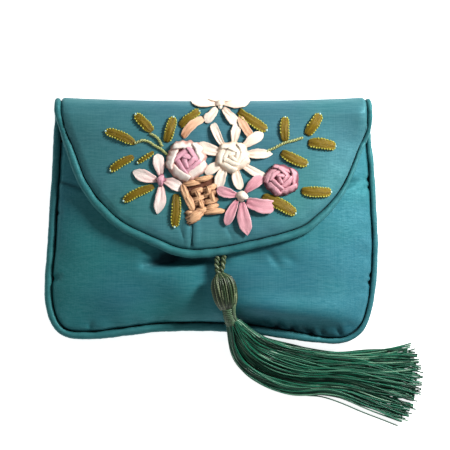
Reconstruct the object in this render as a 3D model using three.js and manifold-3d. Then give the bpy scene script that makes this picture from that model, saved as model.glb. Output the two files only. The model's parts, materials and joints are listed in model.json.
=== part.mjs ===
// A small padded satin purse, lying on its back with its flap closed. The flap carries a ribbon
// embroidery of flowers in a basket, and a silk tassel is sewn to the flap's tip.
//
// Millimetres. X runs across the purse, +Y points from the tassel side to the fold, +Z is up. The origin
// is on the underside of the back, at the middle of the body. The outer cloth is one padded satin panel,
// which makes the back, turns over at the fold and comes down as the flap. The pocket is sewn to the
// back round three sides, and covered piping runs round the body's seam and round the flap's edge.
import * as THREE from "three";
import { mergeVertices } from "three/addons/utils/BufferGeometryUtils.js";
import Module from "manifold-3d";

const wasm = await Module();
wasm.setup();

// Sizes of the body
const bodyWidth = 120.6; // over the piping, at the widest
const bodyHeight = 88.6; // fold to the lowest part of the bottom seam
const seamHeight = 4.2; // middle of the body's piping above the surface it lies on
const pocketRise = 8.4; // how far the pocket's belly stands above its seam
const mouthDrop = 16; // fold to the hidden mouth of the pocket
const foldHeight = 10.2; // height of the fold, through the middle of the cloth
const foldReach = 4.6; // how far the fold bulges past its straight part
const backFlat = 0.62; // share of the back that lies flat on the surface
const foldDip = 1.2; // how far the middle of the fold lies behind its corners

// Sizes of the cloth
const panelThickness = 1.6; // satin, wadding and lining of the outer panel
const pocketThickness = 1.5;
const pipingDiameter = 3.0;
const fitGap = 0.3; // clearance between pieces that touch
const seamGap = 0.55; // between a cloth edge and its piping

// Sizes of the flap
const flapWidth = 114.6; // over the piping, at the fold
const flapDrop = 57.8; // fold to the flap's tip

// Sizes of the hidden press stud
const studDiameter = 9;
const studDepth = 1.3; // how far the stud pulls the pocket in

// Sizes of the embroidery
const motifWidth = 81.3; // from the outermost leaf on one side to the other
const motifAcross = 3.0; // middle of the motif, right of the purse's middle
const motifDown = 26.0; // middle of the motif below the fold
const ribbonThickness = 0.8; // height of a ribbon stitch at its middle
const stemDiameter = 0.9;
const roseHeight = 4.2;
const knotHeight = 2.4;

// Sizes of the tassel
const hangerAcross = 2.7; // right of the purse's middle
const hangerLength = 6.1;
const hangerPlyDiameter = 1.9;
const hangerTwistPitch = 7.5;
const tasselLength = 96; // top of the head to the ends of the threads, along them
const headLength = 12.4;
const headWidth = 8.6;
const headHeight = 6.8; // the head is flattened where it lies on the pocket
const neckLength = 5.6;
const neckWidth = 4.6;
const wrapThickness = 0.7;
const skirtWidth = 26; // across the thread ends
const lockCount = 8;
const lockHeight = 3.2;
const threadFall = 0.5; // the threads leave the purse's edge no steeper than this

const foldY = bodyHeight / 2;
const pipingRadius = pipingDiameter / 2;
const edgeInset = pipingDiameter + seamGap; // cloth edge behind the outer edge of the piping

// Plan outline of the body over its piping, as shares of half its width and of its height
const bodyOutline = [
  { across: -0.952, down: 0.0 },
  { across: -0.946, down: 0.13 },
  { across: -0.952, down: 0.252 },
  { across: -0.967, down: 0.415 },
  { across: -0.979, down: 0.577 },
  { across: -1.0, down: 0.76 },
  { across: -0.992, down: 0.846 },
  { across: -0.964, down: 0.911 },
  { across: -0.922, down: 0.951 },
  { across: -0.863, down: 0.975 },
  { across: -0.719, down: 0.982 },
  { across: -0.528, down: 0.97 },
  { across: -0.313, down: 0.953 },
  { across: -0.075, down: 0.949 },
  { across: 0.164, down: 0.955 },
  { across: 0.343, down: 0.97 },
  { across: 0.522, down: 0.988 },
  { across: 0.701, down: 1.0 },
  { across: 0.809, down: 0.994 },
  { across: 0.887, down: 0.963 },
  { across: 0.934, down: 0.919 },
  { across: 0.964, down: 0.854 },
  { across: 0.988, down: 0.74 },
  { across: 0.997, down: 0.598 },
  { across: 0.988, down: 0.455 },
  { across: 0.973, down: 0.272 },
  { across: 0.955, down: 0.15 },
  { across: 0.955, down: 0.049 },
  { across: 0.949, down: 0.0 },
];
const bodyCorner = 0.8; // down share where a side turns into the bottom

// Plan outline of the flap over its piping, as shares of half its width and of its drop
const flapOutline = [
  { across: -1.0, down: 0.0 },
  { across: -0.99, down: 0.106 },
  { across: -0.963, down: 0.199 },
  { across: -0.891, down: 0.399 },
  { across: -0.84, down: 0.53 },
  { across: -0.743, down: 0.673 },
  { across: -0.586, down: 0.819 },
  { across: -0.361, down: 0.928 },
  { across: -0.235, down: 0.981 },
  { across: -0.12, down: 1.0 },
  { across: 0.034, down: 0.99 },
  { across: 0.241, down: 0.95 },
  { across: 0.48, down: 0.891 },
  { across: 0.599, down: 0.846 },
  { across: 0.687, down: 0.779 },
  { across: 0.8, down: 0.665 },
  { across: 0.875, down: 0.548 },
  { across: 0.953, down: 0.364 },
  { across: 0.99, down: 0.24 },
  { across: 1.003, down: 0.13 },
  { across: 0.997, down: 0.0 },
];
const flapCorner = 0.17; // down share where the flap's straight sides end

// Folds and dents of the pocket: a soft groove from one point to another, as shares of half the body's
// width and of its height, with its depth as a share of the pocket's rise and its breadth of the height
const pocketFolds = [
  { name: "left crease below flap", x0: -0.93, d0: 0.385, x1: -0.6, d1: 0.43, depth: 0.15, breadth: 0.03 },
  { name: "dip beside the tip", x0: -0.42, d0: 0.68, x1: -0.12, d1: 0.665, depth: 0.16, breadth: 0.045 },
  { name: "valley beside the tassel", x0: -0.06, d0: 0.7, x1: -0.02, d1: 0.93, depth: 0.14, breadth: 0.05 },
  { name: "right dimple", x0: 0.62, d0: 0.42, x1: 0.86, d1: 0.365, depth: 0.13, breadth: 0.03 },
  { name: "left shoulder", x0: -0.86, d0: 0.6, x1: -0.5, d1: 0.5, depth: 0.1, breadth: 0.05 },
  { name: "right lower dip", x0: 0.3, d0: 0.9, x1: 0.75, d1: 0.93, depth: 0.12, breadth: 0.04 },
];

// Crease of the flap from the basket's foot to the tip, as shares of half the flap's width and its drop
const flapFolds = [
  { name: "crease below basket", x0: -0.135, d0: 0.75, x1: -0.125, d1: 0.96, depth: 0.07, breadth: 0.03 },
  { name: "hollow across the middle", x0: -0.7, d0: 0.3, x1: 0.7, d1: 0.27, depth: 0.05, breadth: 0.12 },
];
const stud = { across: -0.06, down: 0.55 }; // shares of half the body's width and of its height

const smooth = (t) => {
  const k = Math.min(1, Math.max(0, t));
  return k * k * (3 - 2 * k);
};
const mix = (a, b, t) => a + (b - a) * t;

// A plan curve through an outline's rows, moved inwards by an inset
function planCurve(rows, halfWidth, height, inset, samples) {
  const raw = new THREE.CatmullRomCurve3(
    rows.map((row) => new THREE.Vector3(row.across * halfWidth, foldY - row.down * height, 0)),
    false,
    "centripetal",
  );
  const points = raw.getSpacedPoints(samples);
  return points.map((p, i) => {
    const ahead = points[Math.min(i + 1, samples)];
    const behind = points[Math.max(i - 1, 0)];
    const along = ahead.clone().sub(behind).normalize();
    // The outline runs down the left side, so its inner side is on its left
    return new THREE.Vector3(p.x - along.y * inset, p.y + along.x * inset, 0);
  });
}

// Part of a sampled curve, from one share of its points to another, at t from 0 to 1
function along(points, from, to, t) {
  const k = mix(from, to, t);
  const i = Math.min(points.length - 2, Math.max(0, Math.floor(k)));
  return points[i].clone().lerp(points[i + 1], k - i);
}

// Index, whole and part, where the left or right run of a sampled curve passes a given Y
function indexAtY(points, y, fromEnd) {
  const n = points.length - 1;
  for (let k = 0; k < n; k++) {
    const i = fromEnd ? n - k : k;
    const next = fromEnd ? i - 1 : i + 1;
    if (points[next].y <= y) {
      const t = (points[i].y - y) / Math.max(1e-9, points[i].y - points[next].y);
      return fromEnd ? i - t : i + t;
    }
  }
  throw new Error("the outline never reaches that height");
}

// Index where the lower run of a sampled curve passes a given X
function indexAtX(points, x) {
  for (let i = 1; i < points.length; i++)
    if (points[i].x >= x) return i - 1 + (x - points[i - 1].x) / (points[i].x - points[i - 1].x);
  throw new Error("the outline never reaches that place");
}

// A patch in plan between four edges, filled as a Coons patch: u from -1 to 1 across, v from 0 at the top
function planPatch(points, topY, cornerY) {
  const leftTop = indexAtY(points, topY, false);
  const rightTop = indexAtY(points, topY, true);
  const leftEnd = indexAtY(points, cornerY, false);
  const rightEnd = indexAtY(points, cornerY, true);
  const left = (v) => along(points, leftTop, leftEnd, v);
  const right = (v) => along(points, rightTop, rightEnd, v);
  const bottom = (w) => along(points, leftEnd, rightEnd, w);
  const at = (u, v) => {
    const w = (u + 1) / 2;
    const top = left(0).lerp(right(0), w);
    const across = left(v).lerp(right(v), w);
    const downwards = top.clone().lerp(bottom(w), v);
    const corners = top.clone().lerp(left(1).lerp(right(1), w), v);
    return across.add(downwards).sub(corners);
  };
  return { at, bottom };
}

const outlineSamples = 160;
const bodyEdge = planCurve(bodyOutline, bodyWidth / 2, bodyHeight, edgeInset, outlineSamples);
const flapEdge = planCurve(flapOutline, flapWidth / 2, flapDrop, edgeInset, outlineSamples);
const foldStartY = foldY - foldReach - panelThickness / 2; // where the fold's curve begins
const mouthY = foldY - mouthDrop;
const cornerY = foldY - bodyCorner * bodyHeight;
const backPlan = planPatch(bodyEdge, foldStartY, cornerY);
const pocketPlan = planPatch(bodyEdge, mouthY, cornerY);
const flapPlan = planPatch(flapEdge, foldStartY, foldY - flapCorner * flapDrop);

// X of a side edge of the body at a Y, and Y of its bottom edge at an X
function sideX(y, right) {
  const k = indexAtY(bodyEdge, Math.max(y, cornerY), right);
  return along(bodyEdge, k, k, 0).x;
}
function bottomY(x) {
  let low = 0;
  let high = 1;
  for (let step = 0; step < 24; step++) {
    const middle = (low + high) / 2;
    if (pocketPlan.bottom(middle).x < x) low = middle;
    else high = middle;
  }
  return pocketPlan.bottom(low).y;
}

// Depth of one soft groove at a point
function groove(fold, x, y, halfWidth, height) {
  const ax = fold.x0 * halfWidth;
  const ay = foldY - fold.d0 * height;
  const bx = fold.x1 * halfWidth - ax;
  const by = foldY - fold.d1 * height - ay;
  const t = Math.min(1, Math.max(0, ((x - ax) * bx + (y - ay) * by) / (bx * bx + by * by)));
  const away = Math.hypot(x - ax - t * bx, y - ay - t * by) / (fold.breadth * height);
  return fold.depth * Math.exp(-away * away);
}

const studX = (stud.across * bodyWidth) / 2;
const studY = foldY - stud.down * bodyHeight;
const studPull = (x, y) => studDepth * Math.exp(-((x - studX) ** 2 + (y - studY) ** 2) / studDiameter ** 2);

// Outer surface of the pocket without its folds
function pocketBelly(x, y) {
  const reach = x < 0 ? -sideX(y, false) : sideX(y, true);
  const u = Math.min(1, Math.abs(x) / reach);
  const floorY = bottomY(Math.max(-reach, Math.min(reach, x)));
  const t = Math.max(0, (y - floorY) / (mouthY - floorY));
  const acrossShape = (1 - u ** 3.2) ** 0.75;
  const upShape = t < 0.5 ? (1 - (1 - t / 0.5) ** 2.6) ** 0.8 : 1 - 0.34 * smooth((t - 0.5) / 0.6);
  return seamHeight + fitGap / 2 + pocketThickness + pocketRise * acrossShape * upShape;
}

// Outer surface of the pocket with its folds
function pocketTop(x, y) {
  const base = seamHeight + fitGap / 2 + pocketThickness;
  const belly = pocketBelly(x, y);
  const share = (belly - base) / pocketRise;
  const folds = pocketFolds.reduce((sum, fold) => sum + groove(fold, x, y, bodyWidth / 2, bodyHeight), 0);
  return belly - (folds * pocketRise + studPull(x, y)) * Math.sqrt(Math.max(0, share));
}

// Middle of the outer panel where it makes the back
function backMiddle(u, v) {
  const rim = seamHeight - fitGap / 2 - panelThickness / 2;
  const outwards = Math.min(1, (Math.abs(u) ** 8 + v ** 8) ** (1 / 8));
  const rise = Math.max(0, (outwards - backFlat) / (1 - backFlat));
  return mix(panelThickness / 2, rim, rise ** 3);
}

// How far the fold bulges past its straight part: a little less in its middle than at its corners
const foldBulge = (u) => foldReach - foldDip * (1 - u * u);

// Middle of the outer panel where it makes the flap: it lies on its piping, which lies on the pocket
function flapMiddle(x, y) {
  const step = 0.05;
  const low = Math.min(y, mouthY);
  const here = pocketBelly(x, low);
  const slopeX = (pocketBelly(x + step, low) - here) / step;
  const slopeY = (here - pocketBelly(x, low - step)) / step;
  const rest = here + (fitGap + pipingRadius) * Math.hypot(1, Math.min(1, Math.hypot(slopeX, slopeY)));
  const fromFold = smooth((foldStartY - y) / (foldStartY - mouthY));
  const folds = flapFolds.reduce((sum, fold) => sum + groove(fold, x, y, flapWidth / 2, flapDrop), 0);
  return mix(panelThickness / 2 + foldHeight, rest, fromFold) - folds * pocketRise * fromFold;
}

// A closed geometry from a grid of points for each of its two faces
function sheetGeometry(rows, columns, pointAt, outward, inward) {
  const grid = [];
  for (let i = 0; i <= rows; i++) {
    grid.push([]);
    for (let j = 0; j <= columns; j++) grid[i].push(pointAt(i / rows, j / columns));
  }
  const normalAt = (i, j) => {
    const down = grid[Math.min(i + 1, rows)][j].clone().sub(grid[Math.max(i - 1, 0)][j]);
    const over = grid[i][Math.min(j + 1, columns)].clone().sub(grid[i][Math.max(j - 1, 0)]);
    return over.cross(down).normalize();
  };
  const positions = [];
  for (const offset of [outward, -inward])
    for (let i = 0; i <= rows; i++)
      for (let j = 0; j <= columns; j++)
        positions.push(...grid[i][j].clone().addScaledVector(normalAt(i, j), offset).toArray());
  const index = [];
  const at = (side, i, j) => (side * (rows + 1) + i) * (columns + 1) + j;
  const quad = (a, b, c, d) => index.push(a, b, c, a, c, d);
  for (let i = 0; i < rows; i++)
    for (let j = 0; j < columns; j++) {
      quad(at(0, i, j), at(0, i, j + 1), at(0, i + 1, j + 1), at(0, i + 1, j));
      quad(at(1, i, j), at(1, i + 1, j), at(1, i + 1, j + 1), at(1, i, j + 1));
    }
  for (let j = 0; j < columns; j++) {
    quad(at(0, 0, j), at(1, 0, j), at(1, 0, j + 1), at(0, 0, j + 1));
    quad(at(0, rows, j), at(0, rows, j + 1), at(1, rows, j + 1), at(1, rows, j));
  }
  for (let i = 0; i < rows; i++) {
    quad(at(0, i, 0), at(0, i + 1, 0), at(1, i + 1, 0), at(1, i, 0));
    quad(at(0, i, columns), at(1, i, columns), at(1, i + 1, columns), at(0, i + 1, columns));
  }
  return closed(positions, index);
}

// A geometry from points and triangles, turned so that its faces point outwards
function closed(positions, index) {
  const geometry = new THREE.BufferGeometry();
  geometry.setAttribute("position", new THREE.Float32BufferAttribute(positions, 3));
  const corner = (k) => new THREE.Vector3().fromArray(positions, 3 * index[k]);
  let volume = 0;
  for (let k = 0; k < index.length; k += 3) volume += corner(k).dot(corner(k + 1).cross(corner(k + 2)));
  if (volume < 0) index.reverse();
  geometry.setIndex(index);
  return geometry;
}

// A closed geometry through rings of points, all with as many points. It has flat ends, or comes back
// to its first ring where it is looped.
function ringsGeometry(rings, looped = false) {
  const sides = rings[0].length;
  const positions = rings.flat().flatMap((p) => p.toArray());
  const index = [];
  const joins = looped ? rings.length : rings.length - 1;
  for (let i = 0; i < joins; i++)
    for (let k = 0; k < sides; k++) {
      const next = (k + 1) % sides;
      const ahead = ((i + 1) % rings.length) * sides;
      index.push(i * sides + k, i * sides + next, ahead + next);
      index.push(i * sides + k, ahead + next, ahead + k);
    }
  if (looped) return closed(positions, index);
  for (const ring of [0, rings.length - 1]) {
    const middle = rings[ring].reduce((sum, p) => sum.add(p), new THREE.Vector3()).divideScalar(sides);
    const centre = positions.length / 3;
    positions.push(...middle.toArray());
    for (let k = 0; k < sides; k++) {
      const a = ring * sides + k;
      const b = ring * sides + ((k + 1) % sides);
      index.push(...(ring ? [a, b, centre] : [b, a, centre]));
    }
  }
  return closed(positions, index);
}

// An oval ring of points round a point of a path, with its width level and its height upright
function ovalRing(point, tangent, width, height, sides) {
  const across = tangent.clone().cross(new THREE.Vector3(0, 0, 1)).normalize();
  const up = across.clone().cross(tangent).normalize();
  return Array.from({ length: sides }, (_, k) => {
    const turn = (2 * Math.PI * (k + 0.5)) / sides;
    return point
      .clone()
      .addScaledVector(across, (Math.cos(turn) * width) / 2)
      .addScaledVector(up, (Math.sin(turn) * height) / 2);
  });
}

// A round tube through a path's points
function tubeGeometry(points, diameter, sides) {
  const last = points.length - 1;
  const rings = points.map((p, i) => {
    const tangent = points[Math.min(i + 1, last)].clone().sub(points[Math.max(i - 1, 0)]).normalize();
    return ovalRing(p, tangent, diameter, diameter, sides);
  });
  return ringsGeometry(rings);
}


// A geometry as a solid that can be joined and cut, and back
const solidOf = (geometry) => {
  const bare = new THREE.BufferGeometry();
  bare.setAttribute("position", geometry.getAttribute("position"));
  bare.setIndex(geometry.getIndex());
  const merged = mergeVertices(bare, 1e-4);
  return new wasm.Manifold(
    new wasm.Mesh({
      numProp: 3,
      vertProperties: merged.attributes.position.array,
      triVerts: new Uint32Array(merged.index.array),
    }),
  );
};

// The largest body of a solid, as a geometry. What a cut leaves over at its edge, or a bubble between two
// joined locks, is no piece of its own.
const geometryOf = (solid) => {
  const largest = solid.decompose().reduce((a, b) => (b.volume() > a.volume() ? b : a));
  const mesh = largest.getMesh();
  return closed(Array.from(mesh.vertProperties), Array.from(mesh.triVerts));
};

const materials = {
  satin: new THREE.MeshStandardMaterial({ color: 0x2f7079, roughness: 0.45, metalness: 0 }),
  piping: new THREE.MeshStandardMaterial({ color: 0x3a747a, roughness: 0.5, metalness: 0 }),
  leafRibbon: new THREE.MeshStandardMaterial({ color: 0x7d6a12, roughness: 0.5, metalness: 0 }),
  creamRibbon: new THREE.MeshStandardMaterial({ color: 0xf4e3d3, roughness: 0.5, metalness: 0 }),
  pinkRibbon: new THREE.MeshStandardMaterial({ color: 0xd58aa0, roughness: 0.5, metalness: 0 }),
  tanRibbon: new THREE.MeshStandardMaterial({ color: 0xc88955, roughness: 0.5, metalness: 0 }),
  stemThread: new THREE.MeshStandardMaterial({ color: 0x8f9a45, roughness: 0.6, metalness: 0 }),
  tasselThread: new THREE.MeshStandardMaterial({ color: 0x145a46, roughness: 0.45, metalness: 0 }),
  steel: new THREE.MeshStandardMaterial({ color: 0xb8bbbd, roughness: 0.35, metalness: 1 }),
};

const purse = new THREE.Group();
function addPiece(name, geometry, material) {
  const mesh = new THREE.Mesh(geometry, material);
  mesh.name = name;
  purse.add(mesh);
}

// Outer panel: from the bottom seam up the back, round the fold, and down the flap
const backRows = 7;
const foldRows = 7;
const flapRows = 9;
const panelRows = backRows + foldRows + flapRows;
const panelColumns = 22;
const spread = (w) => Math.sin((Math.PI / 2) * (2 * w - 1)) * 0.55 + (2 * w - 1) * 0.45;

// Middle of the outer panel: s from 0 at the bottom seam to 1 at the flap's edge, u from -1 to 1
function panelPoint(s, u) {
  const row = s * panelRows;
  if (row <= backRows) {
    const v = 1 - row / backRows;
    const p = backPlan.at(u, Math.sin((v * Math.PI) / 2));
    return p.setZ(backMiddle(u, Math.sin((v * Math.PI) / 2)));
  }
  const low = backMiddle(u, 0);
  const start = flapPlan.at(u, 0);
  const high = flapMiddle(start.x, start.y);
  if (row < backRows + foldRows) {
    const turn = ((row - backRows) / foldRows - 0.5) * Math.PI;
    const p = backPlan.at(u, 0).lerp(start, (row - backRows) / foldRows);
    p.y += foldBulge(u) * Math.cos(turn);
    return p.setZ((low + high) / 2 + ((high - low) / 2) * Math.sin(turn));
  }
  const p = flapPlan.at(u, Math.sin(((row - backRows - foldRows) / flapRows) * (Math.PI / 2)));
  return p.setZ(flapMiddle(p.x, p.y));
}
const halfPanel = panelThickness / 2;
addPiece(
  "back_and_flap",
  sheetGeometry(panelRows, panelColumns, (s, w) => panelPoint(s, spread(w)), halfPanel, halfPanel),
  materials.satin,
);

// Pocket: the front of the body, open at its hidden mouth
const pocketPoint = (v, u) => {
  const p = pocketPlan.at(u, Math.sin((v * Math.PI) / 2));
  return p.setZ(pocketTop(p.x, p.y));
};
const pocketRows = 12;
addPiece(
  "front_pocket",
  sheetGeometry(pocketRows, panelColumns, (s, w) => pocketPoint(1 - s, spread(w)), 0, pocketThickness),
  materials.satin,
);

// Piping of the body: up one side from the fold, round the bottom seam, and up the other side
const bodyRun = planCurve(bodyOutline, bodyWidth / 2, bodyHeight, pipingRadius, outlineSamples);
const bodyRunStart = indexAtY(bodyRun, foldStartY, false);
const bodyRunEnd = indexAtY(bodyRun, foldStartY, true);
const bodyPipingSteps = 42;
const bodyPipingPath = Array.from({ length: bodyPipingSteps + 1 }, (_, k) =>
  along(bodyRun, bodyRunStart, bodyRunEnd, k / bodyPipingSteps).setZ(seamHeight),
);
const pipingSides = 6;
addPiece("body_piping", tubeGeometry(bodyPipingPath, pipingDiameter, pipingSides), materials.piping);

// Piping of the flap: round one end of the fold, along the flap's edge, and round the other end
const flapRun = planCurve(flapOutline, flapWidth / 2, flapDrop, pipingRadius, outlineSamples);
const flapRunStart = indexAtY(flapRun, foldStartY, false);
const flapRunEnd = indexAtY(flapRun, foldStartY, true);
const flapPipingSteps = 36;
const flapPipingPath = [];
const pipingOut = pipingRadius + seamGap;
const foldEnd = (u, row) => {
  const p = panelPoint((backRows + row) / panelRows, u);
  const share = row / foldRows;
  p.x += u * pipingOut;
  p.z += (seamHeight - panelPoint(backRows / panelRows, u).z) * (1 - share);
  return p;
};
const endGap = 0.35; // where the fold's piping starts, in rows of the fold
flapPipingPath.push(foldEnd(-1, endGap));
for (let row = 1; row < foldRows; row++) flapPipingPath.push(foldEnd(-1, row));
for (let k = 0; k <= flapPipingSteps; k++) {
  const p = along(flapRun, flapRunStart, flapRunEnd, k / flapPipingSteps);
  flapPipingPath.push(p.setZ(flapMiddle(p.x, p.y)));
}
for (let row = foldRows - 1; row > 0; row--) flapPipingPath.push(foldEnd(1, row));
flapPipingPath.push(foldEnd(1, endGap));
addPiece("flap_piping", tubeGeometry(flapPipingPath, pipingDiameter, pipingSides), materials.piping);

// The middle of the flap's cloth at a place in plan. Past the start of the fold it follows the fold round,
// as a stitch that is sewn there does.
function flapMiddlePoint(x, y) {
  const start = flapPlan.at(-1, 0);
  const end = flapPlan.at(1, 0);
  const u = Math.min(1, Math.max(-1, (2 * (x - start.x)) / (end.x - start.x) - 1));
  const share = (y - foldStartY) / foldBulge(u);
  if (share <= 0) return new THREE.Vector3(x, y, flapMiddle(x, y));
  const steep = 0.9; // past this share of the bulge, distance is counted round the fold
  const steepTurn = Math.asin(steep);
  const turn = share < steep ? Math.asin(share) : steepTurn + (share - steep) / Math.cos(steepTurn);
  const low = backMiddle(u, 0);
  const high = flapMiddle(x, foldStartY);
  const z = (low + high) / 2 + ((high - low) / 2) * Math.cos(turn);
  return new THREE.Vector3(x, foldStartY + foldBulge(u) * Math.sin(turn), z);
}

// A point at a height above the flap's outer surface
function onFlap(x, y, lift) {
  const step = 0.05;
  const p = flapMiddlePoint(x, y);
  const alongX = flapMiddlePoint(x + step, y).sub(flapMiddlePoint(x - step, y));
  const alongY = flapMiddlePoint(x, y + step).sub(flapMiddlePoint(x, y - step));
  return p.addScaledVector(alongX.cross(alongY).normalize(), panelThickness / 2 + lift);
}

// Places in the embroidery are in percent of the motif's width, from its middle
const percent = motifWidth / 100;
const motifX = (x) => motifAcross + x * percent;
const motifY = (y) => foldY - motifDown + y * percent;

// Stitches already laid, each with the clearance that the next ones keep from it
const laid = [];
function layStitch(name, makeSolid, material) {
  const whole = makeSolid(0);
  const box = whole.boundingBox();
  const meets = (near) => [0, 1, 2].every((k) => box.min[k] < near.max[k] && box.max[k] > near.min[k]);
  let solid = whole;
  for (const other of laid) if (meets(other.boundingBox())) solid = solid.subtract(other);
  laid.push(makeSolid(fitGap));
  addPiece(name, geometryOf(solid), material);
}

// Half outlines of a stitch from base to tip, and how high its crown stands
const leafShape = [
  { at: 0.0, breadth: 0.4, rise: 0.6 },
  { at: 0.24, breadth: 0.9, rise: 1.0 },
  { at: 0.5, breadth: 1.0, rise: 1.0 },
  { at: 0.8, breadth: 0.62, rise: 0.8 },
  { at: 1.0, breadth: 0.12, rise: 0.45 },
];
const petalShape = [
  { at: 0.0, breadth: 0.3, rise: 0.7 },
  { at: 0.5, breadth: 0.95, rise: 1.0 },
  { at: 0.84, breadth: 0.9, rise: 0.9 },
  { at: 1.0, breadth: 0.4, rise: 0.5 },
];
const strapShape = [
  { at: 0.0, breadth: 1.0, rise: 1.0 },
  { at: 0.5, breadth: 1.0, rise: 1.0 },
  { at: 1.0, breadth: 1.0, rise: 1.0 },
];
const roundSection = [
  { side: -1, up: 0 },
  { side: -0.6, up: 0.85 },
  { side: 0, up: 1 },
  { side: 0.6, up: 0.85 },
  { side: 1, up: 0 },
  { side: 0, up: 0 },
];
const flatSection = [
  { side: -1, up: 0 },
  { side: -0.85, up: 1 },
  { side: 0.85, up: 1 },
  { side: 1, up: 0 },
];

// A flat ribbon stitch from its base to its tip, lying on the flap with a low crown
function ribbonSolid(stitch, shape, grow = 0, thick = ribbonThickness, section = roundSection) {
  const lift = stitch.lift ?? fitGap;
  const base = new THREE.Vector2(motifX(stitch.x0), motifY(stitch.y0));
  const tip = new THREE.Vector2(motifX(stitch.x1), motifY(stitch.y1));
  const ahead = tip.clone().sub(base).normalize();
  base.addScaledVector(ahead, -grow);
  tip.addScaledVector(ahead, grow);
  const rings = shape.map((row) => {
    const middle = base.clone().lerp(tip, row.at);
    const half = (stitch.wide * percent * row.breadth) / 2 + grow;
    const top = lift + thick * row.rise + grow;
    const bottom = lift - grow;
    const point = (side, height) =>
      onFlap(middle.x - ahead.y * side * half, middle.y + ahead.x * side * half, height);
    return section.map((row) => point(row.side, mix(bottom, top, row.up)));
  });
  return solidOf(ringsGeometry(rings));
}

// A low dome of rings on the flap, with folds that turn round it like a rolled ribbon. With a hollow it
// is a wreath round a free middle.
function rosetteSolid(rose, profile, grow = 0) {
  const sides = 12;
  const turnPerRing = 1.9;
  const seat = rose.seat ?? fitGap;
  const rings = profile.map((row, i) =>
    Array.from({ length: sides }, (_, k) => {
      const turn = (2 * Math.PI * k) / sides;
      const swirl = Math.sin(rose.folds * turn + i * turnPerRing);
      const fold = 1 + rose.swirl * swirl;
      const away = (row.out * rose.wide * percent * fold) / 2 + (row.inner ? -grow : grow);
      const height = seat + row.up * rose.high * fold + (row.up > 0 ? grow : -grow);
      const x = motifX(rose.x) + away * Math.cos(turn);
      const y = motifY(rose.y) + away * Math.sin(turn) * rose.tall;
      return onFlap(x, y, height);
    }),
  );
  return solidOf(ringsGeometry(rings, Boolean(rose.hollow)));
}
const wreathProfile = [
  { out: 0.56, up: 0, inner: true },
  { out: 0.6, up: 0.62, inner: true },
  { out: 0.74, up: 0.82 },
  { out: 0.92, up: 0.56 },
  { out: 1.0, up: 0 },
];
const heartProfile = [
  { out: 0.98, up: 0 },
  { out: 1.0, up: 0.6 },
  { out: 0.7, up: 0.95 },
  { out: 0.3, up: 0.86 },
];

// Roses and knots: place, width and height in percent of the motif and shares of the rose's height
const roses = [
  { name: "white_rose", x: -14.5, y: 3.6, wide: 17.0, tall: 0.94, heart: 9.0, colour: "cream" },
  { name: "pink_rose", x: 26.8, y: -4.8, wide: 15.4, tall: 0.87, heart: 8.0, colour: "pink" },
];
const ribbonOf = { cream: materials.creamRibbon, pink: materials.pinkRibbon };
for (const rose of roses) {
  const heart = { ...rose, wide: rose.heart, folds: 3, swirl: 0.05, high: roseHeight };
  const wraps = { ...rose, folds: 5, swirl: 0.06, high: roseHeight, hollow: true };
  const heartSolid = (grow) => rosetteSolid(heart, heartProfile, grow);
  const wrapsSolid = (grow) => rosetteSolid(wraps, wreathProfile, grow);
  layStitch(`${rose.name}_heart`, heartSolid, materials.pinkRibbon);
  layStitch(`${rose.name}_wraps`, wrapsSolid, ribbonOf[rose.colour]);
}

// Thin stems, as points in percent of the motif
const stems = [
  { name: "stem_left", points: [[-23.9, 6.2], [-28.6, 10.3], [-33.7, 12.4], [-35.4, 12.0]] },
  { name: "stem_left_branch", points: [[-28.2, 11.1], [-27.6, 12.6], [-28.6, 14.4]] },
  { name: "stem_right", points: [[22.6, 8.9], [28.1, 11.0], [35.7, 13.3]] },
];
for (const stem of stems) {
  const curve = new THREE.CatmullRomCurve3(
    stem.points.map(([x, y]) => new THREE.Vector3(motifX(x), motifY(y), 0)),
  );
  const solid = (grow) => {
    const size = stemDiameter + 2 * grow;
    const path = curve.getPoints(6).map((p) => onFlap(p.x, p.y, fitGap + stemDiameter / 2));
    return solidOf(tubeGeometry(path, size, 5));
  };
  layStitch(stem.name, solid, materials.stemThread);
}

// Ribbon leaves, each from its base to its tip
const leaves = [
  { x0: -37.0, y0: 11.6, x1: -50.0, y1: 16.9, wide: 4.0 },
  { x0: -29.6, y0: 16.3, x1: -37.0, y1: 23.8, wide: 4.4 },
  { x0: -23.6, y0: 12.0, x1: -20.5, y1: 22.4, wide: 4.4 },
  { x0: -17.5, y0: 18.6, x1: -9.4, y1: 25.8, wide: 3.8 },
  { x0: -37.7, y0: 5.2, x1: -47.5, y1: -0.5, wide: 3.7 },
  { x0: -29.4, y0: 7.8, x1: -35.7, y1: 2.9, wide: 2.0 },
  { x0: -29.4, y0: -7.8, x1: -41.4, y1: -13.7, wide: 3.7 },
  { x0: -19.2, y0: -10.9, x1: -19.7, y1: -25.0, wide: 4.4 },
  { x0: 8.7, y0: 25.1, x1: 20.1, y1: 17.1, wide: 4.6 },
  { x0: 18.4, y0: -11.9, x1: 32.7, y1: -19.1, wide: 5.0 },
  { x0: 35.7, y0: -9.4, x1: 47.9, y1: -9.9, wide: 4.6 },
  { x0: 28.3, y0: 13.4, x1: 28.5, y1: 22.6, wide: 4.2 },
  { x0: 37.8, y0: 15.0, x1: 43.7, y1: 24.1, wide: 4.6 },
  { x0: 38.4, y0: 11.9, x1: 50.0, y1: 10.4, wide: 5.1 },
  { x0: 26.8, y0: 7.4, x1: 37.8, y1: 2.4, wide: 4.6 },
];
leaves.forEach((leaf, k) =>
  layStitch(`leaf_${k + 1}`, (grow) => ribbonSolid(leaf, leafShape, grow), materials.leafRibbon),
);

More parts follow.
